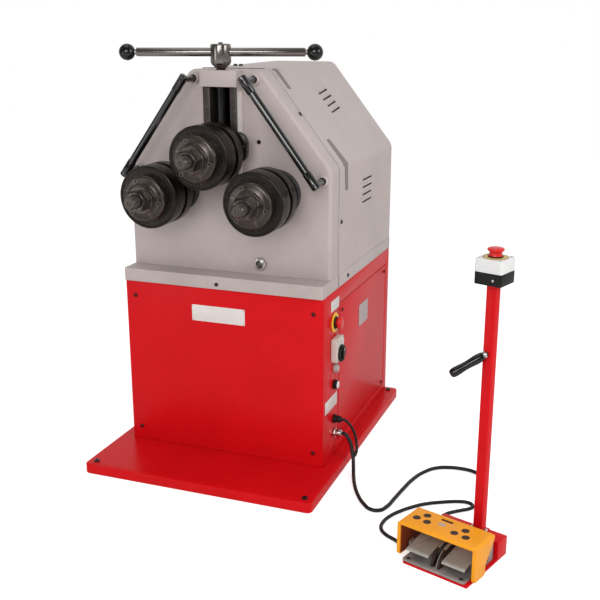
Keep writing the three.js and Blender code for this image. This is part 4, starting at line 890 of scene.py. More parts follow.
@dataclass
class Studio:
    """Camera, floor, lamps and world of the picture."""

    camera_place: tuple[float, float, float] = (1.1665, -2.6895, 1.3165)
    tilt: float = 0.286
    pan: float = 0.3584
    lens: float = 57.0

    def camera(self) -> None:
        """Places the camera as in the photograph."""
        turn = (math.pi / 2 - self.tilt, 0.0, self.pan)
        bpy.ops.object.camera_add(location=self.camera_place, rotation=turn)
        camera = bpy.context.object
        camera.name = "camera"
        camera.data.lens = self.lens
        camera.data.sensor_width = 36.0
        bpy.context.scene.camera = camera

    def lamp(self, name: str, place: Vector, aim: Vector, size: tuple[float, float], power: float) -> Piece:
        """Adds a soft rectangular lamp that is aimed at a point, and returns it."""
        turn = (aim - place).to_track_quat("-Z", "Y").to_euler()
        bpy.ops.object.light_add(type="AREA", location=place, rotation=turn)
        lamp = bpy.context.object
        lamp.name = name
        lamp.data.shape = "RECTANGLE"
        lamp.data.size, lamp.data.size_y = size
        lamp.data.energy = power
        return lamp

    def lamps(self) -> None:
        """Adds the lamps of the studio."""
        aim = Vector((0.1, 0.0, 0.7))
        rows = (
            ("key_lamp", (1.0, -3.9, 2.3), (2.2, 1.6), 66.0),
            ("fill_lamp", (-2.1, -3.0, 0.9), (0.9, 1.3), 12.0),
            ("side_lamp", (3.6, -0.9, 2.2), (1.4, 1.6), 46.0),
            ("top_lamp", (-0.4, -0.4, 3.6), (2.0, 1.6), 11.0),
        )
        for name, place, size, power in rows:
            self.lamp(name, Vector(place), aim, size, power)
        low_aim = Vector((0.0, -0.4, 0.9))
        sheen = self.lamp("sheen_lamp", Vector((-0.15, -3.6, 1.62)), low_aim, (0.7, 0.7), 15.0)
        sheen.visible_diffuse = False

    def world(self) -> None:
        """Makes the surroundings white to the camera, pale in reflections and a plain grey to all else."""
        world = bpy.data.worlds.new("studio")
        world.use_nodes = True
        bpy.context.scene.world = world
        wiring = Wiring(world.node_tree)
        paths = wiring.node("ShaderNodeLightPath").outputs
        seen = wiring.math("ADD", paths["Is Camera Ray"], paths["Is Transmission Ray"], clamp=True)
        direction = wiring.node("ShaderNodeTexCoord").outputs["Generated"]
        backdrop = wiring.ramp(wiring.node("ShaderNodeSeparateXYZ", {0: direction}).outputs["Y"], -0.5, 0.9)
        glossy = paths["Is Glossy Ray"]
        pale = wiring.math("ADD", wiring.math("MULTIPLY", backdrop, 0.75), 0.15)
        reflected = wiring.math("MULTIPLY", pale, glossy)
        other = wiring.math("MULTIPLY", wiring.math("SUBTRACT", 1.0, glossy), 0.6)
        strength = wiring.math("MAXIMUM", wiring.math("MAXIMUM", seen, reflected), other)
        background = world.node_tree.nodes["Background"]
        wiring.feed(background.inputs["Color"], (1.0, 1.0, 1.0, 1.0))
        wiring.feed(background.inputs["Strength"], strength)

    def floor(self) -> None:
        """Lays a pale floor that keeps the shadow."""
        Bench.clear()
        bpy.ops.mesh.primitive_plane_add(size=14.0, location=(0.3, 0.3, -0.0006))
        floor = bpy.context.object
        floor.name = "studio_floor"
        bpy.ops.object.transform_apply(location=True, rotation=True, scale=True)
        material = bpy.data.materials.new("studio_paper")
        material.use_nodes = True
        wiring = Wiring(material.node_tree)
        shader = material.node_tree.nodes["Principled BSDF"]
        paths = wiring.node("ShaderNodeLightPath").outputs
        seen = wiring.math("ADD", paths["Is Camera Ray"], paths["Is Transmission Ray"], clamp=True)
        values = {
            "Base Color": (0.86, 0.86, 0.86, 1.0), "Roughness": 0.9, "Specular IOR Level": 0.1,
            "Emission Color": (1.0, 1.0, 1.0, 1.0), "Emission Strength": wiring.math("MULTIPLY", seen, 0.5),
        }
        for name, value in values.items():
            wiring.feed(shader.inputs[name], value)
        floor.data.materials.append(material)

    def build(self) -> None:
        """Sets up the studio."""
        bpy.context.scene.view_settings.view_transform = "Standard"
        self.lamps()
        self.world()
        self.floor()
        LOG.info("studio ready")


@dataclass
class Lead:
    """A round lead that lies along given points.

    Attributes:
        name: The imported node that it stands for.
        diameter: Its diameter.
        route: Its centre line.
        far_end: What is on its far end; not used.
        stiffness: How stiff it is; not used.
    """

    name: str
    diameter: float
    route: list[Vector]
    far_end: str = "object"
    stiffness: str = "limp"

    def build(self, assembly: Assembly) -> None:
        """Args:
            assembly: The sub-assembly that hands it over.
        """
        Bench.clear()
        bpy.ops.curve.primitive_bezier_curve_add(location=(0.0, 0.0, 0.0))
        piece = bpy.context.object
        piece.name = self.name + "_jacket"
        bpy.ops.object.mode_set(mode="EDIT")
        bpy.ops.curve.select_all(action="SELECT")
        bpy.ops.curve.delete(type="VERT")
        for place in self.route:
            bpy.ops.curve.vertex_add(location=place)
        bpy.ops.curve.select_all(action="SELECT")
        bpy.ops.curve.handle_type_set(type="AUTOMATIC")
        bpy.ops.object.mode_set(mode="OBJECT")
        piece.data.dimensions = "3D"
        piece.data.resolution_u = 6
        piece.data.bevel_depth = self.diameter / 2
        piece.data.bevel_resolution = 4
        piece.data.use_fill_caps = True
        assembly.add(piece, Shop.RUBBER, replaces=[self.name])


@dataclass
class Leads(Assembly):
    """The three leads between the cabinet, the stand and the pedals."""

    gland_tip: float = 0.3493
    floor_line: float = 0.0058
    pedal_floor_line: float = 0.0053

    def control_route(self) -> list[Vector]:
        """Returns the route from the lower gland over the floor to the rear of the stand's box."""
        low = self.floor_line
        points = [
            (self.gland_tip, CONTROL_Y, 0.105), (self.gland_tip + 0.008, CONTROL_Y, 0.105),
            (0.370, -0.143, 0.094), (0.380, -0.148, 0.078), (0.387, -0.155, 0.060), (0.393, -0.164, 0.042),
            (0.398, -0.176, 0.024), (0.404, -0.194, 0.010), (0.413, -0.220, low), (0.428, -0.260, low),
            (0.457, -0.320, low), (0.489, -0.366, low), (0.517, -0.389, low), (0.540, -0.385, low),
            (0.553, -0.360, low), (0.561, -0.308, low), (0.570, -0.240, low), (0.582, -0.169, low),
            (0.602, -0.112, low), (0.630, -0.073, low), (0.666, -0.055, low), (0.703, -0.050, low),
            (0.735, -0.054, low), (0.760, -0.069, low), (0.774, -0.096, low), (0.781, -0.135, low),
            (0.790, -0.195, low), (0.800, -0.265, low), (0.810, -0.330, low), (0.817, -0.365, low),
            (0.830, -0.394, 0.008), (0.842, -0.419, 0.015),
        ]
        ends = [STAND_PLACE @ Vector((0.003, y, 0.020)) for y in (0.040, 0.0223)]
        return [Vector(point) for point in points] + ends

    def branch_route(self) -> list[Vector]:
        """Returns the route from the upper gland down into the bundle."""
        points = [
            (self.gland_tip, CONTROL_Y, 0.150), (self.gland_tip + 0.008, CONTROL_Y, 0.150),
            (0.372, -0.139, 0.138), (0.384, -0.138, 0.120), (0.392, -0.139, 0.098), (0.397, -0.143, 0.076),
            (0.400, -0.150, 0.058),
        ]
        return [Vector(point) for point in points]

    def pedal_route(self) -> list[Vector]:
        """Returns the route from the stand's box round a loop on the floor to the pedal hood."""
        low = self.pedal_floor_line
        start = [
            (-0.1163, 0.0, 0.020), (-0.124, 0.0, 0.020), (-0.140, 0.010, 0.013), (-0.149, 0.034, low + 0.001),
            (-0.152, 0.064, low),
        ]
        floor = [
            (0.717, -0.342), (0.737, -0.319), (0.758, -0.301), (0.773, -0.288), (0.780, -0.274),
            (0.773, -0.259), (0.757, -0.253), (0.736, -0.257), (0.712, -0.267), (0.690, -0.279),
            (0.669, -0.291), (0.645, -0.309), (0.622, -0.333), (0.597, -0.366), (0.577, -0.403),
            (0.567, -0.443), (0.571, -0.478), (0.590, -0.503), (0.616, -0.519),
        ]
        end = [(-0.168, -0.116, 0.008), (-0.153, -0.122, 0.012), (-0.1373, -0.123, 0.012)]
        return (
            [STAND_PLACE @ Vector(point) for point in start]
            + [Vector((x, y, low)) for x, y in floor]
            + [STAND_PLACE @ Vector(point) for point in end]
        )

    def boot(self) -> None:
        """Makes the short sleeve that closes the branch lead against the control lead."""
        start, end = Vector((0.3998, -0.1490, 0.0605)), Vector((0.3952, -0.1670, 0.0375))
        length = (end - start).length
        profile = [(0.0, 0.0), (0.0044, 0.0), (0.0050, 0.0012), (0.0048, length * 0.5), (0.0, length)]
        boot = Bench.turned("branch_boot", profile, steps=32)
        self.add(Bench.shade(Bench.moved(boot, facing(start, end - start))), Shop.RUBBER)

    def build(self) -> None:
        """Makes the three leads and the sleeve where two of them meet."""
        Lead("control_lead", 0.011, self.control_route()).build(self)
        Lead("branch_lead", 0.008, self.branch_route()).build(self)
        Lead("pedal_lead", 0.010, self.pedal_route()).build(self)
        self.boot()


@dataclass
class Fasteners(Assembly):
    """Screws and bolts, each modelled once and copied."""

    def pan_head(self, radius: float) -> Piece:
        """Makes a domed head with a cross recess, which points to +Z from the origin."""
        rise = radius * 0.55
        profile = [(0.0, -0.0015), (radius, -0.0015), (radius, 0.0)]
        arc = [i * math.pi / 10 for i in range(1, 6)]
        profile += [(radius * math.cos(a * 0.98), rise * math.sin(a)) for a in arc]
        profile[-1] = (0.0, rise)
        head = Bench.turned("pan_head", profile, steps=24)
        wide, thin = radius * 0.58, radius * 0.12
        cutters = [
            Bench.block("slot_a", (-wide, -thin, rise * 0.45), (wide, thin, rise * 2)),
            Bench.block("slot_b", (-thin, -wide, rise * 0.45), (thin, wide, rise * 2)),
        ]
        return Bench.shade(Bench.cut(head, *cutters), 40)

    def socket_head(self, radius: float, height: float) -> Piece:
        """Makes a socket screw's head with its hexagon recess."""
        edge = radius * 0.12
        profile = [(0.0, -0.001), (radius, -0.001), (radius, height - edge), (radius - edge, height)]
        profile += [(0.0, height)]
        head = Bench.turned("socket_head", profile, steps=28)
        recess = Bench.plate("socket", hexagon(radius * 0.56), Way.Z, height * 0.4, height * 2)
        return Bench.shade(Bench.cut(head, recess))

    def hex_bolt(self, flats: float, height: float) -> Piece:
        """Makes a hexagon head with chamfered corners on a washer."""
        radius = flats / math.sqrt(3)
        head = Bench.plate("hex_head", hexagon(radius), Way.Z, 0.001, height)
        profile = [(0.0, 0.0), (radius, 0.0), (radius, height * 0.8), (flats * 0.47, height), (0.0, height)]
        Bench.combine(head, "INTERSECT", Bench.turned("hex_cone", profile, steps=36))
        rim, top = flats * 0.95, 0.0027
        profile = [(0.0, -0.0005), (rim, -0.0005), (rim, 0.0022), (flats * 0.9, top), (0.0, top)]
        return Bench.shade(Bench.fuse(head, Bench.turned("hex_washer", profile, steps=36)))

    def put(
        self, model: Piece, name: str, places: list[Matrix], finish: Finish, body: str = "machine",
        replaces: Iterable[str] = (),
    ) -> Piece:
        """Copies a fastener to its places and hands the copies over as one piece."""
        return self.add(Bench.scattered(model, name, places), finish, body, replaces)


@dataclass
class BaseTray(Fasteners):
    """The folded sheet tray that the machine stands on."""

    width: float = 0.730
    depth: float = 0.930
    sheet: float = 0.005
    corner: float = 0.016
    rail: float = 0.090
    anchor_inset: float = 0.028
    anchor_hole: float = 0.014

    def anchors(self) -> list[Cross]:
        """Returns the places of the anchor holes."""
        x, y = self.width / 2 - self.anchor_inset, self.depth / 2 - self.anchor_inset
        return [(sx * x, sy * y) for sx in SIDES for sy in SIDES]

    def build(self) -> None:
        """Makes the tray, its rails and the anchor bolts."""
        x, y = self.width / 2, self.depth / 2
        tray = Bench.plate("base_tray", rectangle(-x, x, -y, y), Way.Z, 0.0, BASE_TOP, self.corner)
        Bench.enter(tray)
        Bench.pick(tray, "FACE", lambda at, n: n.z < -0.9)
        bpy.ops.mesh.inset(thickness=self.sheet, depth=0.0)
        bpy.ops.mesh.extrude_region_move(TRANSFORM_OT_translate={"value": (0, 0, BASE_TOP - self.sheet)})
        Bench.done(tray)
        Bench.soften(tray, 0.0022, 3)
        hole, spots = self.anchor_hole / 2, self.anchors()
        tools = [Bench.rod("anchor_hole", hole, -PAST, 0.05, cross=spot, steps=24) for spot in spots]
        Bench.shade(Bench.cut(tray, *tools))
        self.add(tray, Shop.RED, replaces=["base_plate"])
        rails = []
        half = self.rail / 2
        for side in (-1, 0, 1):
            middle = side * (CABINET_SIDE - half)
            low = (middle - half, -y + self.sheet, 0.0)
            high = (middle + half, y - self.sheet, BASE_TOP - self.sheet + 0.0002)
            rails.append(Bench.soften(Bench.block("rail", low, high), 0.002))
        self.add(Bench.join("base_rails", rails), Shop.RED)
        places = [Matrix.Translation((ax, ay, BASE_TOP)) for ax, ay in self.anchors()]
        self.put(self.socket_head(0.0085, 0.0050), "anchor_bolts", places, Shop.OILED)


@dataclass
class Cabinet(Fasteners):
    """The sheet cabinet with its panels, the bed plate and their screws."""

    sheet: float = 0.003
    panel_y: tuple[float, float] = (-0.099, 0.413)
    panel_z: tuple[float, float] = (0.060, 0.505)
    panel_gaps: tuple[float, float] = (0.0052, 0.0018)
    apron_y: float = -0.1035
    apron_skin: float = 0.0012
    overhang: float = 0.008
    bare_plate: float = 0.0012

    def shell(self) -> None:
        """Makes the folded sheet box."""
        shell = self.refined("cabinet_shell", 0.0018, 3)
        shell.name = "cabinet_sides"
        self.add(shell, Shop.RED, replaces=["cabinet_shell"])

    def front(self) -> None:
        """Makes the front panel with rounded edges, its screws and the bare plate."""
        x, s = CABINET_SIDE, self.sheet
        low = (-x, CABINET_FRONT, BASE_TOP + GAP)
        high = (x, CABINET_FRONT + s, CABINET_TOP - GAP)
        panel = Bench.soften(Bench.block("front_cover", low, high), 0.0012, 3)
        self.add(panel, Shop.RED, replaces=["front_panel"])
        places = on_front([(sx * 0.290, z) for sx in SIDES for z in (0.073, 0.508)], CABINET_FRONT)
        self.put(self.pan_head(0.0070), "front_screws", places, Shop.PAINTED)
        face = CABINET_FRONT - self.bare_plate
        corners = rectangle(-0.098, 0.075, 0.449, 0.499)
        plate = Bench.plate("front_bare_plate", corners, Way.Y, face, CABINET_FRONT, 0.003)
        self.add(Bench.soften(plate, 0.0004, 2), Shop.PLATE)
        profile = [(0.0, -0.0005), (0.0019, -0.0005), (0.0017, 0.0006), (0.0, 0.0010)]
        rivet = Bench.turned("rivet", profile, steps=16)
        places = on_front([(x, z) for x in (-0.094, 0.071) for z in (0.453, 0.495)], face)
        self.put(Bench.shade(rivet, 60), "plate_rivets", places, Shop.BRIGHT)

    def side(self) -> None:
        """Makes the right side panel, its screws and the bare plates."""
        (y0, y1), (z0, z1) = self.panel_y, self.panel_z
        inner, outer = CABINET_SIDE - self.sheet + GAP, CABINET_SIDE
        seam, joint = self.panel_gaps
        corners = rectangle(y0 + seam, y1 - joint, z0 + joint, z1 - joint)
        panel = Bench.plate("side_cover", corners, Way.X, inner, outer, 0.002)
        self.add(Bench.soften(panel, 0.0008, 2), Shop.RED, replaces=["side_panel"])
        lap = 0.003
        corners = rectangle(y0 - lap, y1 + lap, z0 - lap, z1 + lap)
        # Painted shade: a black backing behind the panel's gaps stands in for the dark inside of the cabinet.
        self.add(Bench.plate("panel_shade_backing", corners, Way.X, inner - 0.0016, inner - 0.0002), Shop.BLACK)
        spots = [(-0.068, 0.478), (0.400, 0.482), (0.395, 0.074), (-0.075, 0.085)]
        places = [facing((outer, y, z), (1, 0, 0)) for y, z in spots]
        self.put(self.pan_head(0.0068), "side_screws", places, Shop.PAINTED)
        plates = (
            ("side_bare_plate", rectangle(0.106, 0.202, 0.369, 0.441), Shop.DULL_PLATE),
            ("upper_bare_plate", rectangle(-0.174, -0.101, 0.497, 0.530), Shop.PLATE),
            ("lower_bare_plate", rectangle(-0.222, -0.112, 0.190, 0.230), Shop.PLATE),
        )
        for name, corners, finish in plates:
            plate = Bench.plate(name, corners, Way.X, outer, outer + 0.0011, 0.003)
            self.add(Bench.soften(plate, 0.0003, 2), finish)

    def bed(self) -> None:
        """Makes the thick bed plate with the motor's well, and the aprons and joints on its sides."""
        corners = rectangle(-CABINET_SIDE, CABINET_SIDE, CABINET_FRONT - self.overhang, CABINET_REAR)
        bed = Bench.plate("bed_slab", corners, Way.Z, CABINET_TOP, BED_TOP, 0.005)
        well = Bench.block("well", (-0.100, 0.122, CABINET_TOP - PAST), (0.100, 0.317, BED_TOP + PAST))
        Bench.soften(Bench.cut(bed, well), 0.0025, 4)
        self.add(bed, Shop.BED, replaces=["bed_plate"])
        places = on_front([(-0.011, 0.570)], CABINET_FRONT - self.overhang)
        self.put(self.socket_head(0.0055, 0.004), "lip_screw", places, Shop.OILED)
        aprons, joints = [], []
        low, y, skin = CABINET_TOP + 0.0015, self.apron_y, self.apron_skin
        near = CABINET_SIDE - 0.0004
        for side in SIDES:
            xs, ys = (near, CABINET_SIDE + skin), (y, CABINET_REAR)
            aprons.append(Bench.soften(beside("apron", side, xs, ys, (low, BED_TOP - 0.0005)), 0.0004, 2))
            xs, ys = (near, CABINET_SIDE + GAP), (y - 0.0026, y + 0.0002)
            joints.append(beside("joint", side, xs, ys, (low, BED_TOP - 0.001)))
        self.add(Bench.join("bed_aprons", aprons), Shop.GREY)
        self.add(Bench.join("bed_joints", joints), Shop.BLACK)
        places = [facing((side * (CABINET_SIDE + skin), -0.021, 0.5735), (side, 0, 0)) for side in SIDES]
        self.put(self.pan_head(0.0068), "apron_screws", places, Shop.OILED)

    def build(self) -> None:
        """Makes the cabinet."""
        self.shell()
        self.front()
        self.side()
        self.bed()


@dataclass
class Head(Fasteners):
    """The front frame, the sheet hood with its louvres, and the slide's housing."""

    corner: float = 0.014
    bevel: float = 0.010
    sheet: float = 0.0025
    channel: float = 0.031
    liner: float = 0.0012
    bore: float = 0.055
    rim: float = 0.004
    seam: float = -0.1095
    seam_gap: float = 0.0036
    guide_side: float = 0.053
    guide_paint: float = -0.2165
    gib_front: float = -0.219
    bead_radius: float = 0.0100
    bead_depth: float = 0.0024
    bead_stretch: float = 3.0
    # Radius and lift of the thinner bars whose darker grey paints the shade in the grooves' floors
    bead_shade_floor: Cross = (0.0120, -0.0123)
    bottom_reach: float = 0.05
    block_rise: float = 0.005
    louvre_y: tuple[float, float] = (0.124, 0.222)
    louvre_pitch: float = 0.0232
    louvre_opening: float = 0.0054
    louvre_tilt: float = math.radians(6.5)
    louvre_count: int = 4
    louvre_first: float = 0.101
    louvre_wall_z: float = 0.839
    louvre_lap: float = 0.012

    @property
    def louvre_half(self) -> Cross:
        """Half of a louvre's opening and half of its length."""
        return self.louvre_opening / 2, (self.louvre_y[1] - self.louvre_y[0]) / 2

    @property
    def block_bottom(self) -> float:
        """Height of the nut block's lower face."""
        return BLOCK_BOTTOM + self.block_rise

    def outline_plate(
        self, name: str, inset: float, bottom: float, y0: float, y1: float, corner: float
    ) -> Piece:
        """Makes a plate of the head's outline with its four upper corners rounded."""
        outline, upper = head_outline(inset, bottom), SHOULDER_Z - 0.06
        return Bench.plate(name, outline, Way.Y, y0, y1, corner, lambda at, n: at.z > upper)

    def front_frame(self) -> None:
        """Makes the thick front plate with its rounded edge, channel and bores."""
        bottom = BED_TOP + GAP
        plate = self.outline_plate("front_casting", 0.0, bottom, FACE_Y, self.seam, self.corner)
        Bench.enter(plate)
        near, low = FACE_Y + 0.001, bottom + 0.001
        Bench.pick(plate, "EDGE", lambda at, d: at.y < near and at.z > low and abs(d.y) < 1e-6)
        bpy.ops.mesh.bevel(offset=self.bevel, segments=6, affect="EDGES")
        Bench.done(plate)
        front, back = FACE_Y - PAST, SEAM_Y + PAST
        rim, end = self.rim, self.seam + PAST
        below = bottom - self.bottom_reach
        hollow = self.outline_plate("hollow", rim, below, SEAM_Y, end, self.corner - rim)
        wide = self.channel + self.liner
        slot = Bench.block("channel", (-wide, front, CHANNEL_BOTTOM), (wide, back, self.block_bottom))
        axes = [(side * LOWER_AXIS[0], LOWER_AXIS[1]) for side in SIDES]
        bores = [Bench.rod("bore", self.bore, front, back, Way.Y, axis, 48) for axis in axes]
        Bench.soften(Bench.cut(plate, hollow, slot, *bores), 0.0008, 2, angle=40)
        self.add(plate, Shop.GREY, replaces=["front_frame"])
        places = on_front([(0.103, 0.985), (-0.103, 0.985)], FACE_Y)
        self.put(self.socket_head(0.006, 0.004), "face_screws", places, Shop.OILED)

    def slope(self, along: float, y: float, side: int = 1) -> Matrix:
        """Returns the place on a slope, at a distance down from its top, that points out of the sheet."""
        run, rise = CABINET_SIDE - HEAD_TOP_X, HEAD_TOP - SHOULDER_Z
        length = math.hypot(run, rise)
        place = (side * (HEAD_TOP_X + along * run / length), y, HEAD_TOP - along * rise / length)
        return facing(place, (side * rise, 0.0, run))

    def louvre_places(self) -> list[Matrix]:
        """Returns where the louvres are: a row down each slope and one down each side wall."""
        middle = sum(self.louvre_y) / 2
        places = []
        for side in SIDES:
            for i in range(self.louvre_count):
                along = self.louvre_first + i * self.louvre_pitch
                spot = self.slope(along, middle, side)
                down = spot.inverted().to_3x3() @ Vector((side, 0, -1)).normalized()
                turn = math.atan2(down.y, down.x) + side * self.louvre_tilt
                places.append(spot @ Matrix.Rotation(turn, 4, "Z"))
                z = self.louvre_wall_z - i * self.louvre_pitch + self.louvre_opening / 2
                wall = facing((side * CABINET_SIDE, middle, z), (side, 0, 0))
                down = wall.inverted().to_3x3() @ Vector((0, 0, -1))
                places.append(wall @ Matrix.Rotation(math.atan2(down.y, down.x), 4, "Z"))
        return places

    def louvre_scoop(self) -> Piece:
        """Makes one pressed louvre, a low lip over its opening, along local Y."""
        opening, half = self.louvre_half
        reach, rise = 0.0040, 0.0010
        arc = [i * math.pi / 16 for i in range(9)]
        outer = [(-opening - reach - reach * math.cos(a), rise * math.sin(a)) for a in arc]
        inner = [(x, max(-0.0004, z - 0.0009)) for x, z in reversed(outer)]
        scoop = Bench.plate("louvre", outer + inner, Way.Y, -half, half)
        return Bench.soften(scoop, 0.0003, 2)

    def bead(self, start: Vector, end: Vector, radius: float) -> Piece:
        """Makes a round-ended bar between two points that is wider along Y than it is thick."""
        squeeze = Matrix.Diagonal((1.0, 1.0 / self.bead_stretch, 1.0, 1.0))
        start, end = squeeze @ start, squeeze @ end
        length = (end - start).length
        arc = [i * math.pi / 12 for i in range(7)]
        low = [(radius * math.sin(a), -radius * math.cos(a)) for a in arc]
        high = [(radius * math.cos(a), length + radius * math.sin(a)) for a in arc]
        bar = Bench.turned("bead", low + high, steps=32)
        return Bench.moved(Bench.moved(bar, facing(start, end - start)), squeeze.inverted())

    def beads(self, radius: float, lift: float) -> list[Piece]:
        """Makes bars along the grooves near the seam: one at the top of each slope and one round its foot.

        Args:
            radius: The bars' radius.
            lift: How far their axes are out of the sheet.

        Returns:
            The bars.
        """
        bars = []
        above = Matrix.Translation((0.0, 0.0, lift))
        on_slope = ((0.006, -0.068), (0.068, -0.066), (0.256, -0.049))
        for side in SIDES:
            top, middle, low = ((self.slope(along, y, side) @ above).translation for along, y in on_slope)
            shoulder = Vector((side * (CABINET_SIDE + lift * 0.93), -0.043, SHOULDER_Z + lift * 0.25))
            foot = Vector((side * (CABINET_SIDE + lift), -0.036, 0.840))
            bars += [self.bead(*ends, radius) for ends in ((top, middle), (low, shoulder), (shoulder, foot))]
        return bars

    def shade_liner_of(self, name: str, insets: Cross, bottoms: Cross, ys: Cross) -> None:
        """Makes a thin black skin of the head's outline under the sheet, a painted shade that darkens what is
        seen through the gaps in front of it.

        Args:
            name: The new piece's name.
            insets: How far its outer and inner faces are inside the outline.
            bottoms: Where it ends below, and where the tool that hollows it ends.
            ys: Where it starts and ends along Y.
        """
        skin = self.outline_plate(name, insets[0], bottoms[0], ys[0], ys[1], self.corner)
        core = self.outline_plate("core", insets[1], bottoms[1], ys[0] - PAST, ys[1] + PAST, self.corner)
        self.add(Bench.shade(Bench.cut(skin, core)), Shop.BLACK)

    def hood(self) -> None:
        """Makes the folded shell with its rear wall, its front seam, pressed grooves and louvres, and the
        black liners, black top strip and darker groove floors that are painted shade.
        """
        bottom = BED_TOP + GAP
        below = bottom - self.bottom_reach
        front, back = self.seam + self.seam_gap, CABINET_REAR
        shell = self.outline_plate("hood_shell", 0.0, bottom, front, back, self.corner)
        sheet, ys = self.sheet, (front - PAST, back - self.sheet)
        inner = self.outline_plate("hood_inside", sheet, below, *ys, self.corner - sheet)
        opening, half = self.louvre_half
        slots = []
        for place in self.louvre_places():
            slot = Bench.block("slot", (-opening, -half, -0.006), (opening, half, 0.006))
            slots.append(Bench.moved(slot, place))
        y0, y1 = self.seam + GAP, front - GAP
        # Painted shade: a black liner behind the seam's gap stands in for the shadow inside it.
        self.shade_liner_of("seam_shade_liner", (0.0022, 0.0060), (bottom, below), (y0, y1))
        # Painted shadow: a black strip across the top stands in for the shadow line at the seam.
        strip = Bench.block("top_shadow_strip", (-0.104, y0, HEAD_TOP - 0.003), (0.092, y1, HEAD_TOP + 0.0014))
        self.add(Bench.soften(strip, 0.0004, 2), Shop.BLACK)
        Bench.cut(shell, inner, *slots, *self.beads(self.bead_radius, self.bead_radius - self.bead_depth))
        # Painted shade: darker grey bars lie in the grooves' floors.
        floors = [Bench.shade(bar) for bar in self.beads(*self.bead_shade_floor)]
        self.add(Bench.join("groove_shade_floors", floors), Shop.GROOVE_SHADE)
        Bench.level(Bench.soften(shell, 0.0007, 2, angle=50))
        self.add(shell, Shop.GREY, replaces=["head_hood"])
        self.add(Bench.scattered(self.louvre_scoop(), "louvre_scoops", self.louvre_places()), Shop.GREY)
        # Painted shade: a black mat under the louvres darkens what is seen through their slots.
        y0, y1 = self.louvre_y[0] - self.louvre_lap, self.louvre_y[1] + self.louvre_lap
        self.shade_liner_of("louvre_shade_mat", (0.0055, 0.0067), (0.745, 0.700), (y0, y1))

    def hood_screws(self) -> None:
        """Adds the screws that hold the hood."""
        places = [facing((side * 0.205, -0.122, 1.0615), (side * 0.270, 0, 0.212)) for side in (1, -1)]
        places += [facing((side * CABINET_SIDE, -0.087, 0.751), (side, 0, 0)) for side in (1, -1)]
        self.put(self.pan_head(0.007), "hood_screws", places, Shop.OILED)
        places = [facing((x, 0.041, HEAD_TOP), (0, 0, 1)) for x in (-0.067, -0.049)]
        self.put(self.socket_head(0.006, 0.006), "top_screws", places, Shop.OILED)

    def slide_housing(self) -> None:
        """Makes the nut block and the two guide bars, with a bright strip on each guide's side that is a
        painted highlight.
        """
        back = FACE_Y - GAP
        bottom = self.block_bottom
        block = Bench.block("slide_block", (-0.057, GUIDE_FRONT, bottom), (0.056, back, HEAD_TOP))
        inner, outer, front = self.channel + self.liner, self.guide_side, self.guide_paint
        ys, zs = (front, back), (CHANNEL_BOTTOM, bottom + 0.001)
        bars = [beside("guide", side, (inner, outer), ys, zs) for side in (1, -1)]
        seat = Bench.rod("seat", 0.0193, 1.12, 1.20, cross=(0.0, SCREW_Y), steps=32)
        Bench.cut(Bench.fuse(block, *bars), seat)
        Bench.soften(block, 0.0016, 3)
        self.add(block, Shop.GREY, replaces=["slide_housing"])
        self.gibs()
        # Painted highlight: a bright plate strip on each guide's outer side stands in for the light reflected
        # there.
        ys, zs = (front + 0.002, back - 0.002), (0.930, 1.126)
        faces = [beside("guide_side_highlight", side, (outer, outer + 0.0008), ys, zs) for side in SIDES]
        self.add(Bench.join("guide_side_highlights", [Bench.soften(face, 0.0003, 1) for face in faces]), Shop.PLATE)
        top = HEAD_TOP + 0.0012
        profile = [(0.0145, bottom), (0.019, bottom), (0.019, HEAD_TOP), (0.0165, top), (0.0145, top)]
        nut = Bench.turned("nut_bush", profile, cross=(0.0, SCREW_Y), steps=40, ring=True)
        centre, turn = Vector((0, SCREW_Y, 0)), Vector((math.pi / 2, 0, 0))
        self.add(Bench.shade(nut), Shop.BRONZE, replaces=["screw_nut"], centre=centre, turn=turn)

    def gibs(self) -> None:
        """Makes the steel gibs in front of the guide bars and down the channel's walls, with their screws."""
        zs = (CHANNEL_BOTTOM + 0.0005, self.block_bottom - GAP)
        x, outer, paint = self.channel, self.guide_side - 0.0006, self.guide_paint
        strips = []
        for side in SIDES:
            strips.append(beside("gib", side, (x, outer), (self.gib_front, paint + 0.0002), zs))
            strips.append(beside("wall", side, (x, x + self.liner), (paint, SEAM_Y), zs))
        for strip in strips:
            Bench.soften(strip, 0.0005, 2)
        self.add(Bench.join("guide_gibs", strips), Shop.GIB)
        spots = ((-0.0420, 1.083), (0.0440, 1.091), (0.0440, 1.0725), (-0.0420, 0.930), (0.0440, 0.930))
        self.put(self.socket_head(0.0042, 0.0014), "gib_screws", on_front(spots, self.gib_front), Shop.SHAFT)

    def sight(self) -> None:
        """Makes the oil sight: hexagon body, bezel ring and glass."""
        x, z, flats = 0.104, 0.628, 0.034
        corners = hexagon(flats / math.sqrt(3), (x, z))
        body = Bench.plate("sight_body", corners, Way.Y, FACE_Y - 0.0112, FACE_Y - GAP)
        well = Bench.rod("well", 0.0102, FACE_Y - 0.02, FACE_Y - 0.006, Way.Y, (x, z), 40)
        Bench.soften(Bench.cut(body, well), 0.0012, 3)
        self.add(body, Shop.BRIGHT, replaces=["oil_sight_glass"], centre=Vector((x, 0, z)))
        rows = [(0.0100, 0.0080), (0.0128, 0.0110), (0.0128, 0.0132), (0.0112, 0.0138), (0.0100, 0.0120)]
        ring = Bench.turned("sight_ring", [(r, FACE_Y - out) for r, out in rows], Way.Y, (x, z), 40, True)
        self.add(Bench.shade(ring), Shop.BRIGHT, centre=Vector((x, 0, z)))
        rows = [(0.0, 0.0105), (0.004, 0.0101), (0.0085, 0.0085), (0.0101, 0.0065), (0.0, 0.0065)]
        lens = Bench.turned("sight_lens", [(r, FACE_Y - out) for r, out in rows], Way.Y, (x, z), 32)
        self.add(Bench.shade(lens, 50), Shop.GLASS)

    def build(self) -> None:
        """Makes the head."""
        self.front_frame()
        self.hood()
        self.hood_screws()
        self.slide_housing()
        self.sight()
        self.dress("rear_frame", Shop.IRON)


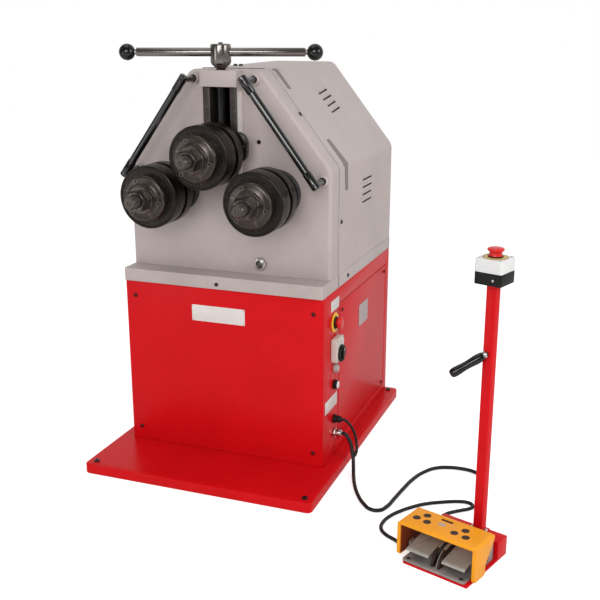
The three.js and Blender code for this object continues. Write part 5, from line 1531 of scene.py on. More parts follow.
@dataclass
class RollSet(Fasteners):
    """One bending roll with its shaft, collar, washer and nut.

    Attributes:
        prefix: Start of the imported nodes' names.
        body: The body that the set turns with.
        cross: The axis's X and Z.
        turn: Turn of the collar's screws and of the nut.
        rear: Where the roll's rear face is.
    """

    prefix: str = "upper"
    body: str = "upper_spindle"
    cross: Cross = (0.0, UPPER_AXIS_Z)
    turn: float = 0.0
    rear: float = -0.260
    width: float = 0.108
    radius: float = 0.089
    front_ring: float = 0.056
    groove: float = 0.018
    groove_depth: float = 0.010
    collar_width: float = 0.034
    collar_radius: float = 0.065
    boss_radius: float = 0.042
    bore: float = 0.0254
    collar_screws: float = 0.0525
    washer_width: float = 0.009
    nut_height: float = 0.030
    nut_flats: float = 0.056
    thread_end: float = 0.030

    @property
    def centre(self) -> Vector:
        """The pattern's centre on the axis."""
        return Vector((self.cross[0], 0.0, self.cross[1]))

    @property
    def front(self) -> float:
        """Where the roll's front face is."""
        return self.rear - self.width

    @property
    def collar_front(self) -> float:
        """Where the collar's front face is."""
        return self.front - self.collar_width

    def on(self, profile: Profile, name: str, steps: int = ROUND, ring: bool = True) -> Piece:
        """Turns a profile about this set's axis."""
        return Bench.turned(self.prefix + "_" + name, profile, Way.Y, self.cross, steps, ring)

    def roll(self) -> None:
        """Makes the bending roll with its groove, its rims and fine ring lines on the face."""
        f, r, outer, bore = self.front, self.rear, self.radius, self.bore
        g0 = f + self.front_ring
        g1 = g0 + self.groove
        floor = outer - self.groove_depth
        line, edge, scratch = 0.0009, 0.0042, outer - 0.0005
        profile = [(bore, f + 0.0012), (bore + 0.0012, f)]
        for at in (outer - 0.017, outer - 0.0095):
            bed = line * 0.6
            profile += [(at - line, f), (at - bed, f + line), (at + bed, f + line), (at + line, f)]
        profile += [(outer - edge, f)]
        profile += self.arc(outer - edge, f + edge, edge, -90, 0)
        profile += [(outer, f + 0.027), (scratch, f + 0.0274), (scratch, f + 0.0286), (outer, f + 0.029)]
        profile += [(outer, g0 - 0.0016), (outer - 0.0016, g0), (floor + 0.002, g0), (floor, g0 + 0.002)]
        profile += [(floor, g1 - 0.002), (floor + 0.002, g1), (outer - 0.0016, g1), (outer, g1 + 0.0016)]
        profile += [(outer, r - 0.003), (outer - 0.003, r), (bore + 0.001, r), (bore, r - 0.001)]
        piece = Bench.shade(self.on(profile, "roll_body", 96), 28)
        self.add(piece, Shop.ROLL, self.body, [self.prefix + "_roll"], self.centre)

    def circle(self, radius: float, angles: list[float]) -> list[Cross]:
        """Returns places round this set's axis, at angles in radians."""
        x, z = self.cross
        return [(x + radius * math.cos(angle), z + radius * math.sin(angle)) for angle in angles]

    @staticmethod
    def arc(radius: float, along: float, size: float, start: float, end: float, steps: int = 5) -> Profile:
        """Returns a round corner of a profile, with angles in degrees from the outward direction."""
        angles = [math.radians(start + (end - start) * i / steps) for i in range(1, steps + 1)]
        return [(radius + size * math.cos(a), along + size * math.sin(a)) for a in angles]

    def collar(self) -> None:
        """Makes the clamping collar with its rounded shoulder, step and three screws."""
        c, b = self.collar_front, self.front - GAP
        boss, outer, bore, shoulder = self.boss_radius, self.collar_radius, self.bore, 0.008
        profile = [(bore, c + 0.001), (bore + 0.001, c), (boss - 0.0015, c), (boss, c + 0.0015)]
        profile += [(boss, c + 0.008), (outer - shoulder, c + 0.0095)]
        profile += self.arc(outer - shoulder, c + 0.0175, shoulder, -90, 0, 7)
        profile += [(outer, b - 0.0008), (outer - 0.0008, b), (bore, b)]
        piece = self.on(profile, "collar_body", 80)
        spots = self.circle(self.collar_screws, [self.turn + i * math.tau / 3 for i in range(3)])
        wells = [Bench.rod("screw_well", 0.0052, c, c + 0.0145, Way.Y, spot, 28) for spot in spots]
        Bench.soften(Bench.cut(piece, *wells), 0.0005, 2, angle=40)
        self.add(piece, Shop.COLLAR, self.body, [self.prefix + "_collar"], self.centre)
        screw, name = self.socket_head(0.0044, 0.003), self.prefix + "_collar_screws"
        self.put(screw, name, on_front(spots, c + 0.0125), Shop.SHAFT, self.body)
        profile = [(0.0050, -0.0002), (0.0062, -0.0002), (0.0060, 0.0004), (0.0052, 0.0004)]
        rim = Bench.shade(Bench.turned("rim", profile, steps=28, ring=True))
        self.put(rim, self.prefix + "_well_rims", on_front(spots, c), Shop.WORN, self.body)

    def nut(self) -> None:
        """Makes the nut: washer, chamfered hexagon and bore."""
        back, bore = self.collar_front - GAP, 0.0183
        w = self.collar_front - self.washer_width
        n = w - self.nut_height
        profile = [(bore, w), (0.0362, w), (0.038, w + 0.0018), (0.038, back), (bore, back)]
        washer = self.on(profile, "washer", 72)
        corners = hexagon(self.nut_flats / math.sqrt(3), self.cross, 0.3 + self.turn)
        block = Bench.plate("hexagon", corners, Way.Y, n, w - 0.0002)
        profile = [(0.0, n), (0.0262, n), (0.0325, n + 0.0042), (0.0330, w + PAST), (0.0, w + PAST)]
        Bench.combine(block, "INTERSECT", self.on(profile, "crown", 72, ring=False))
        profile = [(0.0, n - PAST), (0.0200, n - PAST), (0.0200, n), (bore, n + 0.0017), (bore, w + PAST)]
        tool = self.on(profile + [(0.0, w + PAST)], "nut_bore", 64, ring=False)
        Bench.soften(Bench.cut(block, tool), 0.0009, 3, angle=28)
        Bench.shade(washer)
        nut = Bench.join(self.prefix + "_nut_body", [block, washer])
        self.add(nut, Shop.COLLAR, self.body, [self.prefix + "_nut"], self.centre)

    def shaft_profile(self) -> Profile:
        """Returns the shaft's profile from its threaded tip to its shoulder."""
        front, back = self.collar_front, self.rear + GAP
        tip = front - self.washer_width - self.nut_height - self.thread_end
        rows = [(0.0, tip + 0.0045), (0.0045, tip + 0.0022), (0.0052, tip), (0.0148, tip)]
        rows += [(0.0162, tip + 0.0014)]
        rows += thread(0.018, 0.0011, tip + 0.0030, front - 0.002, 0.0030)
        rows += [(0.0176, front), (0.0245, front), (0.025, front + 0.0005)]
        return rows + [(0.025, back), (0.0375, back), (0.038, self.rear + 0.001)]

    def tail(self) -> Profile:
        """Returns the rest of the upper shaft, into the ram."""
        end = -0.078
        rows = [(0.038, -0.2485), (0.0375, -0.248), (0.020, -0.248), (0.020, end - 0.001)]
        return rows + [(0.0185, end), (0.0, end)]

    def shaft(self) -> None:
        """Makes the shaft."""
        piece = Bench.shade(self.on(self.shaft_profile() + self.tail(), "shaft_body", 48, ring=False), 30)
        self.add(piece, Shop.SHAFT, self.body, [self.prefix + "_shaft"], self.centre)

    def build(self) -> None:
        """Makes the set."""
        self.shaft()
        self.roll()
        self.collar()
        self.nut()


@dataclass
class LowerRollSet(RollSet):
    """A driven roll set with its bearing housing, rear bearing and gear."""

    def tail(self) -> Profile:
        """Returns the rest of the lower shaft, through the housing and gear into the rear bearing."""
        return [(0.038, -0.2472), (0.0375, -0.2467), (0.030, -0.2467), (0.030, 0.053), (0.0225, 0.053),
            (0.0225, 0.122), (0.0210, 0.124), (0.0, 0.124)]

    def housing(self) -> None:
        """Makes the bearing housing on the face with its bolts."""
        nose, flange, back, tail = -0.244, FACE_Y - 0.016, FACE_Y - GAP, SEAM_Y + 0.008
        profile = [
            (0.0306, nose + 0.001), (0.0316, nose), (0.0535, nose), (0.056, nose + 0.0025),
            (0.056, flange - 0.003), (0.0575, flange), (0.0680, flange), (0.070, flange + 0.002),
            (0.070, back), (0.0547, back), (0.0547, tail), (0.0306, tail),
        ]
        piece = Bench.shade(self.on(profile, "housing_body", 72), 30)
        self.add(piece, Shop.IRON, replaces=[self.prefix + "_bearing_housing"], centre=self.centre)
        spots = self.circle(0.0635, [math.radians(15 + 60 * i) for i in range(6)])
        bolt, name = self.socket_head(0.0045, 0.005), self.prefix + "_housing_bolts"
        self.put(bolt, name, on_front(spots, flange), Shop.OILED)

    def build(self) -> None:
        """Makes the set, its housing and its drive."""
        super().build()
        self.housing()
        self.dress(self.prefix + "_rear_bearing", Shop.BRIGHT, self.centre)
        self.dress(self.prefix + "_gear", Shop.IRON, self.centre)


@dataclass
class Slide(Fasteners):
    """The ram that carries the upper roll, its flange, the feed screw and the T-handle."""

    ram_top: float = 1.022
    flange_half: float = 0.093
    ear_bottom: float = 0.930
    flange_front: float = -0.247
    hub_bottom: float = 1.190
    hub_radius: float = 0.029
    hub_taper: float = 0.016
    hub_height: float = 0.053
    hub_cut: float = 0.004
    bar_radius: float = 0.012
    neck_radius: float = 0.007
    reach: float = 0.263
    ball_radius: float = 0.023
    rest_turn: float = math.radians(18)

    @property
    def bar_z(self) -> float:
        """Height of the handle's bar."""
        return self.hub_bottom + self.hub_taper + self.hub_height / 2

    @property
    def handle_place(self) -> Matrix:
        """Place and turn of the handle."""
        return Matrix.Translation((0.0, SCREW_Y, self.bar_z)) @ Matrix.Rotation(self.rest_turn, 4, "Z")

    def ram(self) -> None:
        """Makes the ram with its keeper, and the flange in front of the guides."""
        ram = self.refined("ram", 0.0012)
        ram.name = "ram_block"
        self.add(ram, Shop.IRON, "ram_slide", ["ram"])
        half, front = self.flange_half, self.flange_front
        corners = rectangle(-half, half, self.ear_bottom, self.ram_top - 0.003)
        plate = Bench.plate("flange_plate", corners, Way.Y, front, GUIDE_FRONT - GAP, 0.034)
        bore = Bench.rod("bore", 0.0206, -0.26, -0.22, Way.Y, (0.0, UPPER_AXIS_Z), 48)
        Bench.soften(Bench.cut(plate, bore), 0.0018, 3)
        self.add(plate, Shop.OILED, "ram_slide", ["ram_flange"])
        places = on_front([(sx * x, z) for sx in SIDES for x, z in ((0.081, 0.975), (0.052, 0.944))], front)
        self.put(self.socket_head(0.0065, 0.0065), "flange_screws", places, Shop.OILED, "ram_slide")

    def screw(self) -> None:
        """Makes the feed screw with its thrust collar, thread and hub."""
        hub, bottom = self.hub_radius, self.hub_bottom
        top = bottom + self.hub_taper + self.hub_height - self.hub_cut
        foot = self.ram_top + GAP
        profile = [(0.0, foot), (0.0200, foot), (0.021, foot + 0.001), (0.021, foot + 0.011)]
        profile += [(0.020, foot + 0.012), (0.0126, foot + 0.012)]
        profile += thread(0.014, 0.0016, foot + 0.0135, bottom - 0.001, 0.005)
        profile += [(0.0135, bottom), (0.0, bottom)]
        stem = Bench.shade(Bench.turned("feed_screw_body", profile, cross=(0.0, SCREW_Y)), 32)
        self.add(stem, Shop.POLISHED, "feed_screw", ["spindle"])
        base = bottom - 0.0004
        profile = [(0.0, base), (0.0155, base), (0.017, bottom + 0.001), (0.0195, bottom + 0.004)]
        profile += [(0.0250, bottom + 0.008), (0.0278, bottom + 0.013), (hub, bottom + self.hub_taper)]
        profile += [(hub, top - 0.005), (hub - 0.0005, top - 0.003), (hub - 0.0016, top - 0.0014)]
        profile += [(hub - 0.0035, top - 0.0003), (hub - 0.006, top), (0.0, top)]
        piece = Bench.turned("handle_hub", profile, cross=(0.0, SCREW_Y))
        hole = Bench.rod("hole", 0.0123, -0.04, 0.04, Way.X, steps=40)
        Bench.cut(piece, Bench.moved(hole, self.handle_place))
        Bench.shade(piece, 32)
        self.add(piece, Shop.BURNISHED, "feed_screw")
        places = [Matrix.Translation((0.0, SCREW_Y, top))]
        self.put(self.socket_head(0.006, 0.004), "hub_screw", places, Shop.OILED, "feed_screw")

    def handle(self) -> None:
        """Makes the bar and its two balls."""
        r, neck, ball = self.bar_radius, self.neck_radius, self.ball_radius
        end = self.reach - ball - 0.003
        stud = self.reach - ball * 0.2
        half = [(r, end - 0.0022), (r - 0.0007, end - 0.0007), (r - 0.0022, end), (neck, end)]
        half += [(neck, stud), (0.0, stud)]
        profile = [(radius, -x) for radius, x in reversed(half)] + half
        bar = Bench.turned("handle_rod", profile, Way.X, steps=40)
        Bench.shade(Bench.moved(bar, self.handle_place))
        self.add(bar, Shop.BURNISHED, "feed_screw", ["handle_bar"])
        for name, side in (("left", -1), ("right", 1)):
            knob = self.ball()
            if side < 0:
                Bench.moved(knob, Matrix.Rotation(math.pi, 4, "Z"))
            Bench.moved(knob, self.handle_place @ Matrix.Translation((side * self.reach, 0, 0)))
            self.add(knob, Shop.GLOSS_BLACK, "feed_screw", ["handle_ball_" + name])

    def ball(self) -> Piece:
        """Makes a ball knob round the origin with its flat mouth towards -X."""
        ball, mouth = self.ball_radius, self.neck_radius + 0.0004
        start = math.asin(0.0095 / ball)
        arc = [start + (math.pi - start) * i / 22 for i in range(23)]
        rows = [(ball * math.sin(a), -ball * math.cos(a)) for a in arc]
        rows[-1] = (0.0, ball)
        flat, seat = rows[0][1], -ball * 0.2 + GAP
        socket = [(0.0, seat), (mouth, seat), (mouth, flat + 0.0008), (mouth + 0.0008, flat)]
        return Bench.shade(Bench.turned("knob", socket + rows, Way.X, steps=48), 50)

    def build(self) -> None:
        """Makes the slide and its handle."""
        self.ram()
        self.screw()
        self.handle()


@dataclass
class SideRods(Fasteners):
    """The two slanted rods beside the rolls, with their sleeves and posts."""

    rod: float = 0.0110
    sleeve: float = 0.0125
    sleeve_length: float = 0.054
    overhang: float = 0.014
    line_y: float = -0.262
    boss: float = 0.0158
    boss_front: float = -0.196
    stud: float = 0.0092
    top: Cross = (0.0935, 1.159)
    feet: tuple[Cross, Cross] = ((0.289, 0.890), (0.299, 0.885))

    def profile(self, length: float) -> Profile:
        """Returns the rod's profile from the foot's end to the top's end."""
        r, s, e, n = self.rod, self.sleeve, self.overhang, self.sleeve_length
        end = [(0.0, 0.0), (s - 0.0048, 0.0), (s - 0.0018, 0.0008), (s, 0.0030)]
        end += [(s, n - 0.0012), (s - 0.0008, n), (r, n + 0.0004)]
        low = [(radius, at - e) for radius, at in end]
        high = [(radius, length + e - at) for radius, at in reversed(end)]
        return low + high

    def one(self, side: int, name: str, foot_place: Cross) -> None:
        """Makes one rod with its studs and the painted bosses that they stand in."""
        foot = Vector((side * foot_place[0], self.line_y, foot_place[1]))
        top = Vector((side * self.top[0], self.line_y, self.top[1]))
        bar = Bench.turned(name + "_bar", self.profile((top - foot).length), steps=48)
        Bench.moved(bar, facing(foot, top - foot))
        studs, bosses = [], []
        front, back, r, b = self.boss_front, FACE_Y - GAP, self.stud, self.boss
        stud = [(0.0, self.line_y), (r, self.line_y), (r, front - 0.0030), (r + 0.0022, front - 0.0026)]
        stud += [(r + 0.0024, front + 0.0010), (0.0, front + 0.0010)]
        boss = [(0.0, front), (b - 0.0030, front), (b - 0.0009, front + 0.0009), (b, front + 0.0030)]
        boss += [(b, back), (0.0, back)]
        spots = [(place.x, place.z) for place in (top, foot)]
        for spot in spots:
            studs.append(Bench.turned("stud", stud, Way.Y, spot, 36))
            bosses.append(Bench.shade(Bench.turned("boss", boss, Way.Y, spot, 48), 50))
        whole = Bench.join(name + "_body", [Bench.shade(piece, 36) for piece in [bar, *studs]])
        self.add(whole, Shop.POLISHED, replaces=[name])
        self.add(Bench.join(name + "_bosses", bosses), Shop.GREY)
        places = on_front(spots, self.line_y - self.sleeve + 0.0004)
        self.put(self.socket_head(0.0048, 0.0018), name + "_screws", places, Shop.OILED)

    def build(self) -> None:
        """Makes both rods."""
        self.one(-1, "left_side_rod", self.feet[0])
        self.one(1, "right_side_rod", self.feet[1])


@dataclass
class Drive(Assembly):
    """The pinion, gearbox and motor inside the head."""

    def build(self) -> None:
        """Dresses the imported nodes, which the hood hides."""
        self.dress("pinion_shaft", Shop.IRON, Vector((0, 0, LOWER_AXIS[1])))
        self.dress("gearbox", Shop.IRON)
        self.dress("drive_motor", Shop.IRON)


@dataclass
class SideControls(Fasteners):
    """The column of buttons, switch and glands on the cabinet's right side."""

    wall: float = CABINET_SIDE
    stop_z: float = 0.458
    switch_z: float = 0.365
    switch_rise: float = 0.016
    switch_half: float = 0.033
    knob_back: float = 0.0206
    disc_radius: float = 0.0262
    grip_height: float = 0.0115
    reset_z: float = 0.314
    start_z: float = 0.262
    branch_z: float = 0.150
    control_z: float = 0.105

    def on(self, name: str, profile: Profile, z: float, steps: int = 48, ring: bool = False) -> Piece:
        """Turns a profile, measured from the wall, about an axis square to it."""
        rows = [(radius, self.wall + along) for radius, along in profile]
        return Bench.shade(Bench.turned(name, rows, Way.X, (CONTROL_Y, z), steps, ring), 36)

    def stop(self) -> None:
        """Makes the mushroom button over its yellow ring."""
        g, z = GAP, self.stop_z
        profile = [(0.0136, g), (0.0290, g), (0.0300, 0.0008), (0.0300, 0.0020), (0.0292, 0.0028)]
        self.add(self.on("stop_ring", profile + [(0.0136, 0.0028)], z, ring=True), Shop.BADGE_YELLOW)
        profile = [(0.0150, 0.0029), (0.0186, 0.0029), (0.0186, 0.0066), (0.0174, 0.0080), (0.0150, 0.0080)]
        self.add(self.on("stop_bezel", profile, z, ring=True), Shop.BLACK)
        profile = [
            (0.0, -0.014), (0.013, -0.014), (0.013, 0.0100), (0.0145, 0.0128), (0.0185, 0.0138),
            (0.0198, 0.0148), (0.0200, 0.0165), (0.0196, 0.0195), (0.0180, 0.0225), (0.0150, 0.0243),
            (0.0110, 0.0250), (0.0, 0.0250),
        ]
        mushroom = self.on("stop_mushroom", profile, z)
        self.add(mushroom, Shop.RED_PLASTIC, "stop_button", ["cabinet_stop_button"])

    def switch(self) -> None:
        """Makes the square switch with its marks and screws."""
        y, z, half = CONTROL_Y, self.switch_z, self.switch_half
        rear, front = self.wall + GAP, self.wall + GAP + 0.020
        low, high = z - half + self.switch_rise / 2, z + half + self.switch_rise
        body = Bench.plate("switch_box", rectangle(y - half, y + half, low, high), Way.X, rear, front, 0.009)
        bore = self.on("bore", [(0.0, 0.006), (0.0070, 0.006), (0.0070, 0.030), (0.0, 0.030)], z)
        Bench.soften(Bench.cut(body, bore), 0.0022, 3)
        self.add(body, Shop.GREY_PLASTIC, replaces=["main_switch_body"])
        half_mark = Vector((0.0002, 0.0014, 0.0030))
        shifts = ((0.0, 0.0365), (-0.0270, 0.0240), (-0.0275, -0.0150))
        spots = [Vector((front, y + a, z + b)) for a, b in shifts]
        marks = [Bench.block("mark", spot - half_mark, spot + half_mark) for spot in spots]
        self.add(Bench.join("switch_marks", marks), Shop.BLACK)
        heights = (low + 0.0055, high - 0.0055)
        places = [facing((front, y + sy * 0.0275, height), (1, 0, 0)) for sy in SIDES for height in heights]
        self.put(self.pan_head(0.0026), "switch_screws", places, Shop.OILED)
        self.knob()

    def knob(self) -> None:
        """Makes the switch's disc with its grip and pointer."""
        y, z, back, rim = CONTROL_Y, self.switch_z, self.knob_back, self.disc_radius
        profile = [
            (0.0, 0.0069), (0.0065, 0.0069), (0.0065, back), (rim - 0.0010, back), (rim, back + 0.001),
            (rim, back + 0.0055), (rim - 0.0010, back + 0.0076), (rim - 0.0030, back + 0.0080),
            (rim - 0.0050, back + 0.0076), (rim - 0.0062, back + 0.0050), (0.0, back + 0.0050),
        ]
        disc = self.on("knob_disc", profile, z)
        foot, tip = self.wall + back + 0.004, self.wall + back + self.grip_height
        outline = rectangle(y - 0.007, y + 0.007, z - 0.0195, z + 0.0195)
        grip = Bench.soften(Bench.plate("grip", outline, Way.X, foot, tip, 0.004), 0.0018, 3)
        Bench.shade(Bench.fuse(disc, grip), 34)
        self.add(disc, Shop.BLACK, "switch_knob", ["main_switch_knob"])
        low, high = (tip - 0.0002, y - 0.0010, z + 0.008), (tip + 0.0002, y + 0.0010, z + 0.0170)
        self.add(Bench.block("pointer", low, high), Shop.WHITE, "switch_knob")

    def push(self, name: str, body: str, z: float, radius: float, rim: Finish, face: Finish) -> None:
        """Makes a plain push button in its bezel.

        Args:
            name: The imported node's name.
            body: The body that it moves with.
            z: Its height.
            radius: Its outer radius.
            rim: Finish of the bezel.
            face: Finish of the button.
        """
        wall, inner = radius - 0.0018, radius - 0.0022
        profile = [(wall, GAP), (radius - 0.0004, GAP), (radius, 0.0008), (radius, 0.0088)]
        profile += [(radius - 0.0006, 0.0096), (wall + 0.0004, 0.0096), (wall, 0.0092)]
        self.add(self.on(name + "_bezel", profile, z, ring=True), rim)
        profile = [(0.0, -0.014), (0.008, -0.014), (0.008, 0.0034), (inner - 0.0004, 0.0034)]
        profile += [(inner, 0.0038), (inner, 0.0120), (inner - 0.0006, 0.0126), (0.0, 0.0124)]
        self.add(self.on(name + "_plunger", profile, z), rim, body, [name])
        edge = inner - 0.0008
        profile = [(0.0, 0.0123), (edge, 0.0123), (edge, 0.0132), (inner - 0.0020, 0.0143), (0.0, 0.0147)]
        self.add(self.on(name + "_cap", profile, z), face, body)

    def gland(self, name: str, z: float, lead: float, finish: Finish) -> None:
        """Makes a cable gland with its locknut and ribbed dome nut.

        Args:
            name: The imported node's name.
            z: Its height.
            lead: The lead's diameter.
            finish: Its finish.
        """
        flats, ribs, mouth = 0.024, 18, lead / 2 + 0.0004
        corners = hexagon(flats / math.sqrt(3), (CONTROL_Y, z))
        locknut = Bench.plate("locknut", corners, Way.X, self.wall + GAP, self.wall + 0.0083)
        Bench.soften(locknut, 0.0009, 3)
        outline = []
        for i in range(ribs * 2):
            r = 0.0110 if i % 2 else 0.0103
            angle = i * math.pi / ribs
            outline.append((CONTROL_Y + r * math.cos(angle), z + r * math.sin(angle)))
        body = Bench.plate("dome_nut", outline, Way.X, self.wall + 0.0075, self.wall + 0.0170)
        profile = [(mouth, 0.0160), (0.0106, 0.0160), (0.0106, 0.0185), (0.0098, 0.0225), (0.0082, 0.0258)]
        dome = self.on("dome", profile + [(lead / 2 + 0.0016, 0.0280), (mouth, 0.0280)], z, ring=True)
        shank = self.on("shank", [(0.0, -0.012), (0.008, -0.012), (0.008, 0.001), (0.0, 0.001)], z, 24)
        whole = Bench.join(name + "_body", [locknut, Bench.soften(body, 0.0003, 1), dome, shank])
        self.add(whole, finish, replaces=[name])

    def build(self) -> None:
        """Makes the controls."""
        self.stop()
        self.switch()
        self.push("reset_button", "reset_push", self.reset_z, 0.0135, Shop.DULL_PLATE, Shop.DULL_PLATE)
        self.push("start_button", "start_push", self.start_z, 0.0145, Shop.BLACK, Shop.WHITE)
        self.gland("branch_gland", self.branch_z, 0.008, Shop.BLACK)
        self.gland("control_gland", self.control_z, 0.011, Shop.BRIGHT)


@dataclass
class Placed(Fasteners):
    """A sub-assembly that is made in a frame of its own."""

    place = Matrix()

    def lay(
        self, piece: Piece, finish: Finish, body: str = "machine", replaces: Iterable[str] = (),
        shift: float = 0.0,
    ) -> None:
        """Moves a piece from the sub-assembly's frame to its place and hands it over.

        Args:
            piece: The piece.
            finish: Its finish.
            body: The body that it moves with.
            replaces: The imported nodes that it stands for.
            shift: How far it is moved along the frame's X before.
        """
        Bench.moved(piece, self.place @ Matrix.Translation((shift, 0.0, 0.0)))
        self.add(piece, finish, body, replaces)

    def fasten(self, model: Piece, name: str, spots: list[Matrix], finish: Finish) -> None:
        """Copies a fastener to places of the sub-assembly's frame."""
        self.put(model, name, [self.place @ spot for spot in spots], finish)


@dataclass
class Stand(Placed):
    """The foot with its box, the post, the grip and the stop station, made in the stand's own frame."""

    place = STAND_PLACE
    tray_x: tuple[float, float] = (-0.116, 0.068)
    tray_y: tuple[float, float] = (-0.182, -0.021)
    sheet: float = 0.005
    box_y: tuple[float, float] = (-0.025, 0.022)
    box_top: float = 0.052
    box_wall: float = 0.004
    post: float = 0.0125
    post_wall: float = 0.0025
    post_top: float = 0.716
    station: float = 0.036
    cover_top: float = 0.779

    def foot(self) -> None:
        """Makes the tray and the box that carries the post."""
        (x0, x1), (y0, y1), (b0, b1) = self.tray_x, self.tray_y, self.box_y
        tray = Bench.plate("foot_sheet", rectangle(x0, x1, y0, y1), Way.Z, 0.0, self.sheet, 0.003)
        box = Bench.block("foot_box", (x0, b0, 0.0), (x1, b1, self.box_top))
        w = self.box_wall
        hollow = Bench.block("hollow", (x0 + w, b0 + w, -0.01), (x1 - w, b1 - w, self.box_top - w))
        Bench.soften(Bench.cut(Bench.fuse(box, tray), hollow), 0.0012, 3)
        box.name = "foot_weldment"
        self.lay(box, Shop.RED, replaces=["stand_foot"])

    def column(self) -> None:
        """Makes the square post with its foot flange, bolts and the cable sleeves of the box."""
        h, low = self.post, self.box_top + GAP
        bore, foot = h - self.post_wall, 0.006
        flange = Bench.block("flange", (-h - 0.009, -h - 0.005, low), (h + 0.009, h + 0.005, low + foot))
        post = Bench.block("post", (-h, -h, low), (h, h, self.post_top))
        hollow = Bench.block("hollow", (-bore, -bore, low - PAST), (bore, bore, self.post_top + PAST))
        Bench.soften(Bench.cut(Bench.fuse(post, flange), hollow), 0.0016, 3)
        post.name = "post_tube"
        self.lay(post, Shop.RED, replaces=["stand_post"])
        spots = [Matrix.Translation((sx * 0.0170, 0.0, low + foot)) for sx in SIDES]
        self.fasten(self.hex_bolt(0.007, 0.0045), "post_bolts", spots, Shop.BRIGHT)
        profile = [(0.0, 0.0), (0.0090, 0.0), (0.0092, 0.0030), (0.0070, 0.0045), (0.0060, 0.0225)]
        sleeve = Bench.turned("lead_sleeve", profile + [(0.0057, 0.0240), (0.0, 0.0240)], steps=32)
        rear, left = (0.003, self.box_y[1], 0.020), (self.tray_x[0], 0.0, 0.020)
        spots = [facing(rear, (0, 1, 0)), facing(left, (-1, 0, 0))]
        self.fasten(Bench.shade(sleeve), "box_sleeves", spots, Shop.BLACK)

    def grip(self) -> None:
        """Makes the leaning handle with its collar at the post."""
        r, stud, length = 0.012, 0.012, 0.092
        rows = [(0.0, 0.0), (r * 0.5, 0.0), (r * 0.5, stud), (r * 0.80, stud), (r * 0.9, stud + 0.002)]
        shape = [
            (0.93, 0.08), (1.0, 0.17), (0.98, 0.25), (0.90, 0.38), (0.86, 0.48), (0.88, 0.60), (0.95, 0.72),
            (1.0, 0.82), (0.97, 0.90), (0.86, 0.955), (0.62, 0.988), (0.30, 0.999), (0.0, 1.0),
        ]
        rows += [(r * width, stud + length * along) for width, along in shape]
        handle = Bench.turned("grip_handle", rows, steps=40)
        place = facing((0.0, -self.post, 0.541), (-0.62, -0.60, -0.50))
        Bench.moved(handle, place)
        clear = Bench.block("clear", (-0.0128, -0.0128, 0.48), (0.0128, 0.0128, 0.60))
        Bench.shade(Bench.cut(handle, clear), 36)
        self.lay(handle, Shop.GLOSS_BLACK, replaces=["post_grip"])
        profile = [(0.0062, 0.0035), (0.0085, 0.0035), (0.0092, 0.0045), (0.0092, 0.0100), (0.0085, 0.0112)]
        collar = Bench.turned("grip_collar", profile + [(0.0062, 0.0112)], steps=32, ring=True)
        self.lay(Bench.moved(Bench.shade(collar), place), Shop.BRIGHT)

    def square(self, name: str, inset: float, low: float, high: float, corner: float) -> Piece:
        """Makes a square plate of the station with rounded corners."""
        half = self.station - inset
        return Bench.plate(name, rectangle(-half, half, -half, half), Way.Z, low, high, corner)

    def stop_station(self) -> None:
        """Makes the base and the cover of the station with their screws."""
        low, middle = self.post_top + GAP, self.post_top + 0.030
        base = self.square("station_box", 0.0, low, middle, 0.006)
        hollow = self.square("hollow", 0.003, low + 0.003, middle + PAST, 0.004)
        Bench.soften(Bench.cut(base, hollow), 0.0012, 3)
        self.lay(base, Shop.BLACK, replaces=["station_base"])
        side_screw = on_front([(0.014, 0.730)], -self.station)
        self.fasten(self.pan_head(0.0038), "station_side_screw", side_screw, Shop.BRIGHT)
        cover = self.square("station_lid", 0.0, middle + GAP, self.cover_top, 0.007)
        inner = self.square("inner", 0.003, middle - PAST, self.cover_top - 0.003, 0.004)
        hole = Bench.rod("hole", 0.0174, 0.76, 0.80, steps=48)
        Bench.soften(Bench.cut(cover, inner, hole), 0.0020, 4)
        self.lay(cover, Shop.WHITE, replaces=["station_cover"])
        far = 0.028
        spots = [Matrix.Translation((sx * far, sy * far, self.cover_top)) for sx in SIDES for sy in SIDES]
        self.fasten(self.pan_head(0.0026), "station_screws", spots, Shop.BRIGHT)

    def band(self, name: str, profile: Profile, steps: int, finish: Finish) -> None:
        """Turns a ring on the station's cover from a profile that is measured from the cover's top."""
        rows = [(radius, self.cover_top + along) for radius, along in profile]
        self.lay(Bench.shade(Bench.turned(name, rows, steps=steps, ring=True)), finish)

    def mushroom(self) -> None:
        """Makes the pale disc with its dark line, the mushroom and its neck."""
        disc = [(0.0176, 0.0002), (0.0300, 0.0002), (0.0300, 0.0010), (0.0176, 0.0010)]
        self.band("station_disc", disc, 64, Shop.PALE)
        line = [(0.0290, 0.0009), (0.0301, 0.0009), (0.0301, 0.0013), (0.0290, 0.0013)]
        self.band("disc_line", line, 64, Shop.BLACK)
        top, cap = self.cover_top, 0.0202
        reach = top + 0.024
        profile = [
            (0.0, top - 0.024), (0.017, top - 0.024), (0.017, top + 0.0030), (0.0155, top + 0.0052),
            (0.0150, top + 0.0130), (0.0156, top + 0.0148), (cap - 0.0012, top + 0.0162), (cap, top + 0.0174),
            (cap, top + 0.0200), (cap - 0.0008, top + 0.0216), (cap - 0.0028, top + 0.0228),
            (cap * 0.62, reach - 0.0003), (cap * 0.35, reach), (0.0, reach),
        ]
        mushroom = Bench.shade(Bench.turned("station_mushroom", profile, steps=56), 40)
        self.lay(mushroom, Shop.RED_PLASTIC, "station_push", ["station_button"])
        neck = [(0.0173, 0.0011), (0.0188, 0.0011), (0.0188, 0.0034), (0.0178, 0.0042), (0.0173, 0.0042)]
        self.band("station_neck", neck, 48, Shop.BLACK)

    def build(self) -> None:
        """Makes the stand."""
        self.foot()
        self.column()
        self.grip()
        self.stop_station()
        self.mushroom()


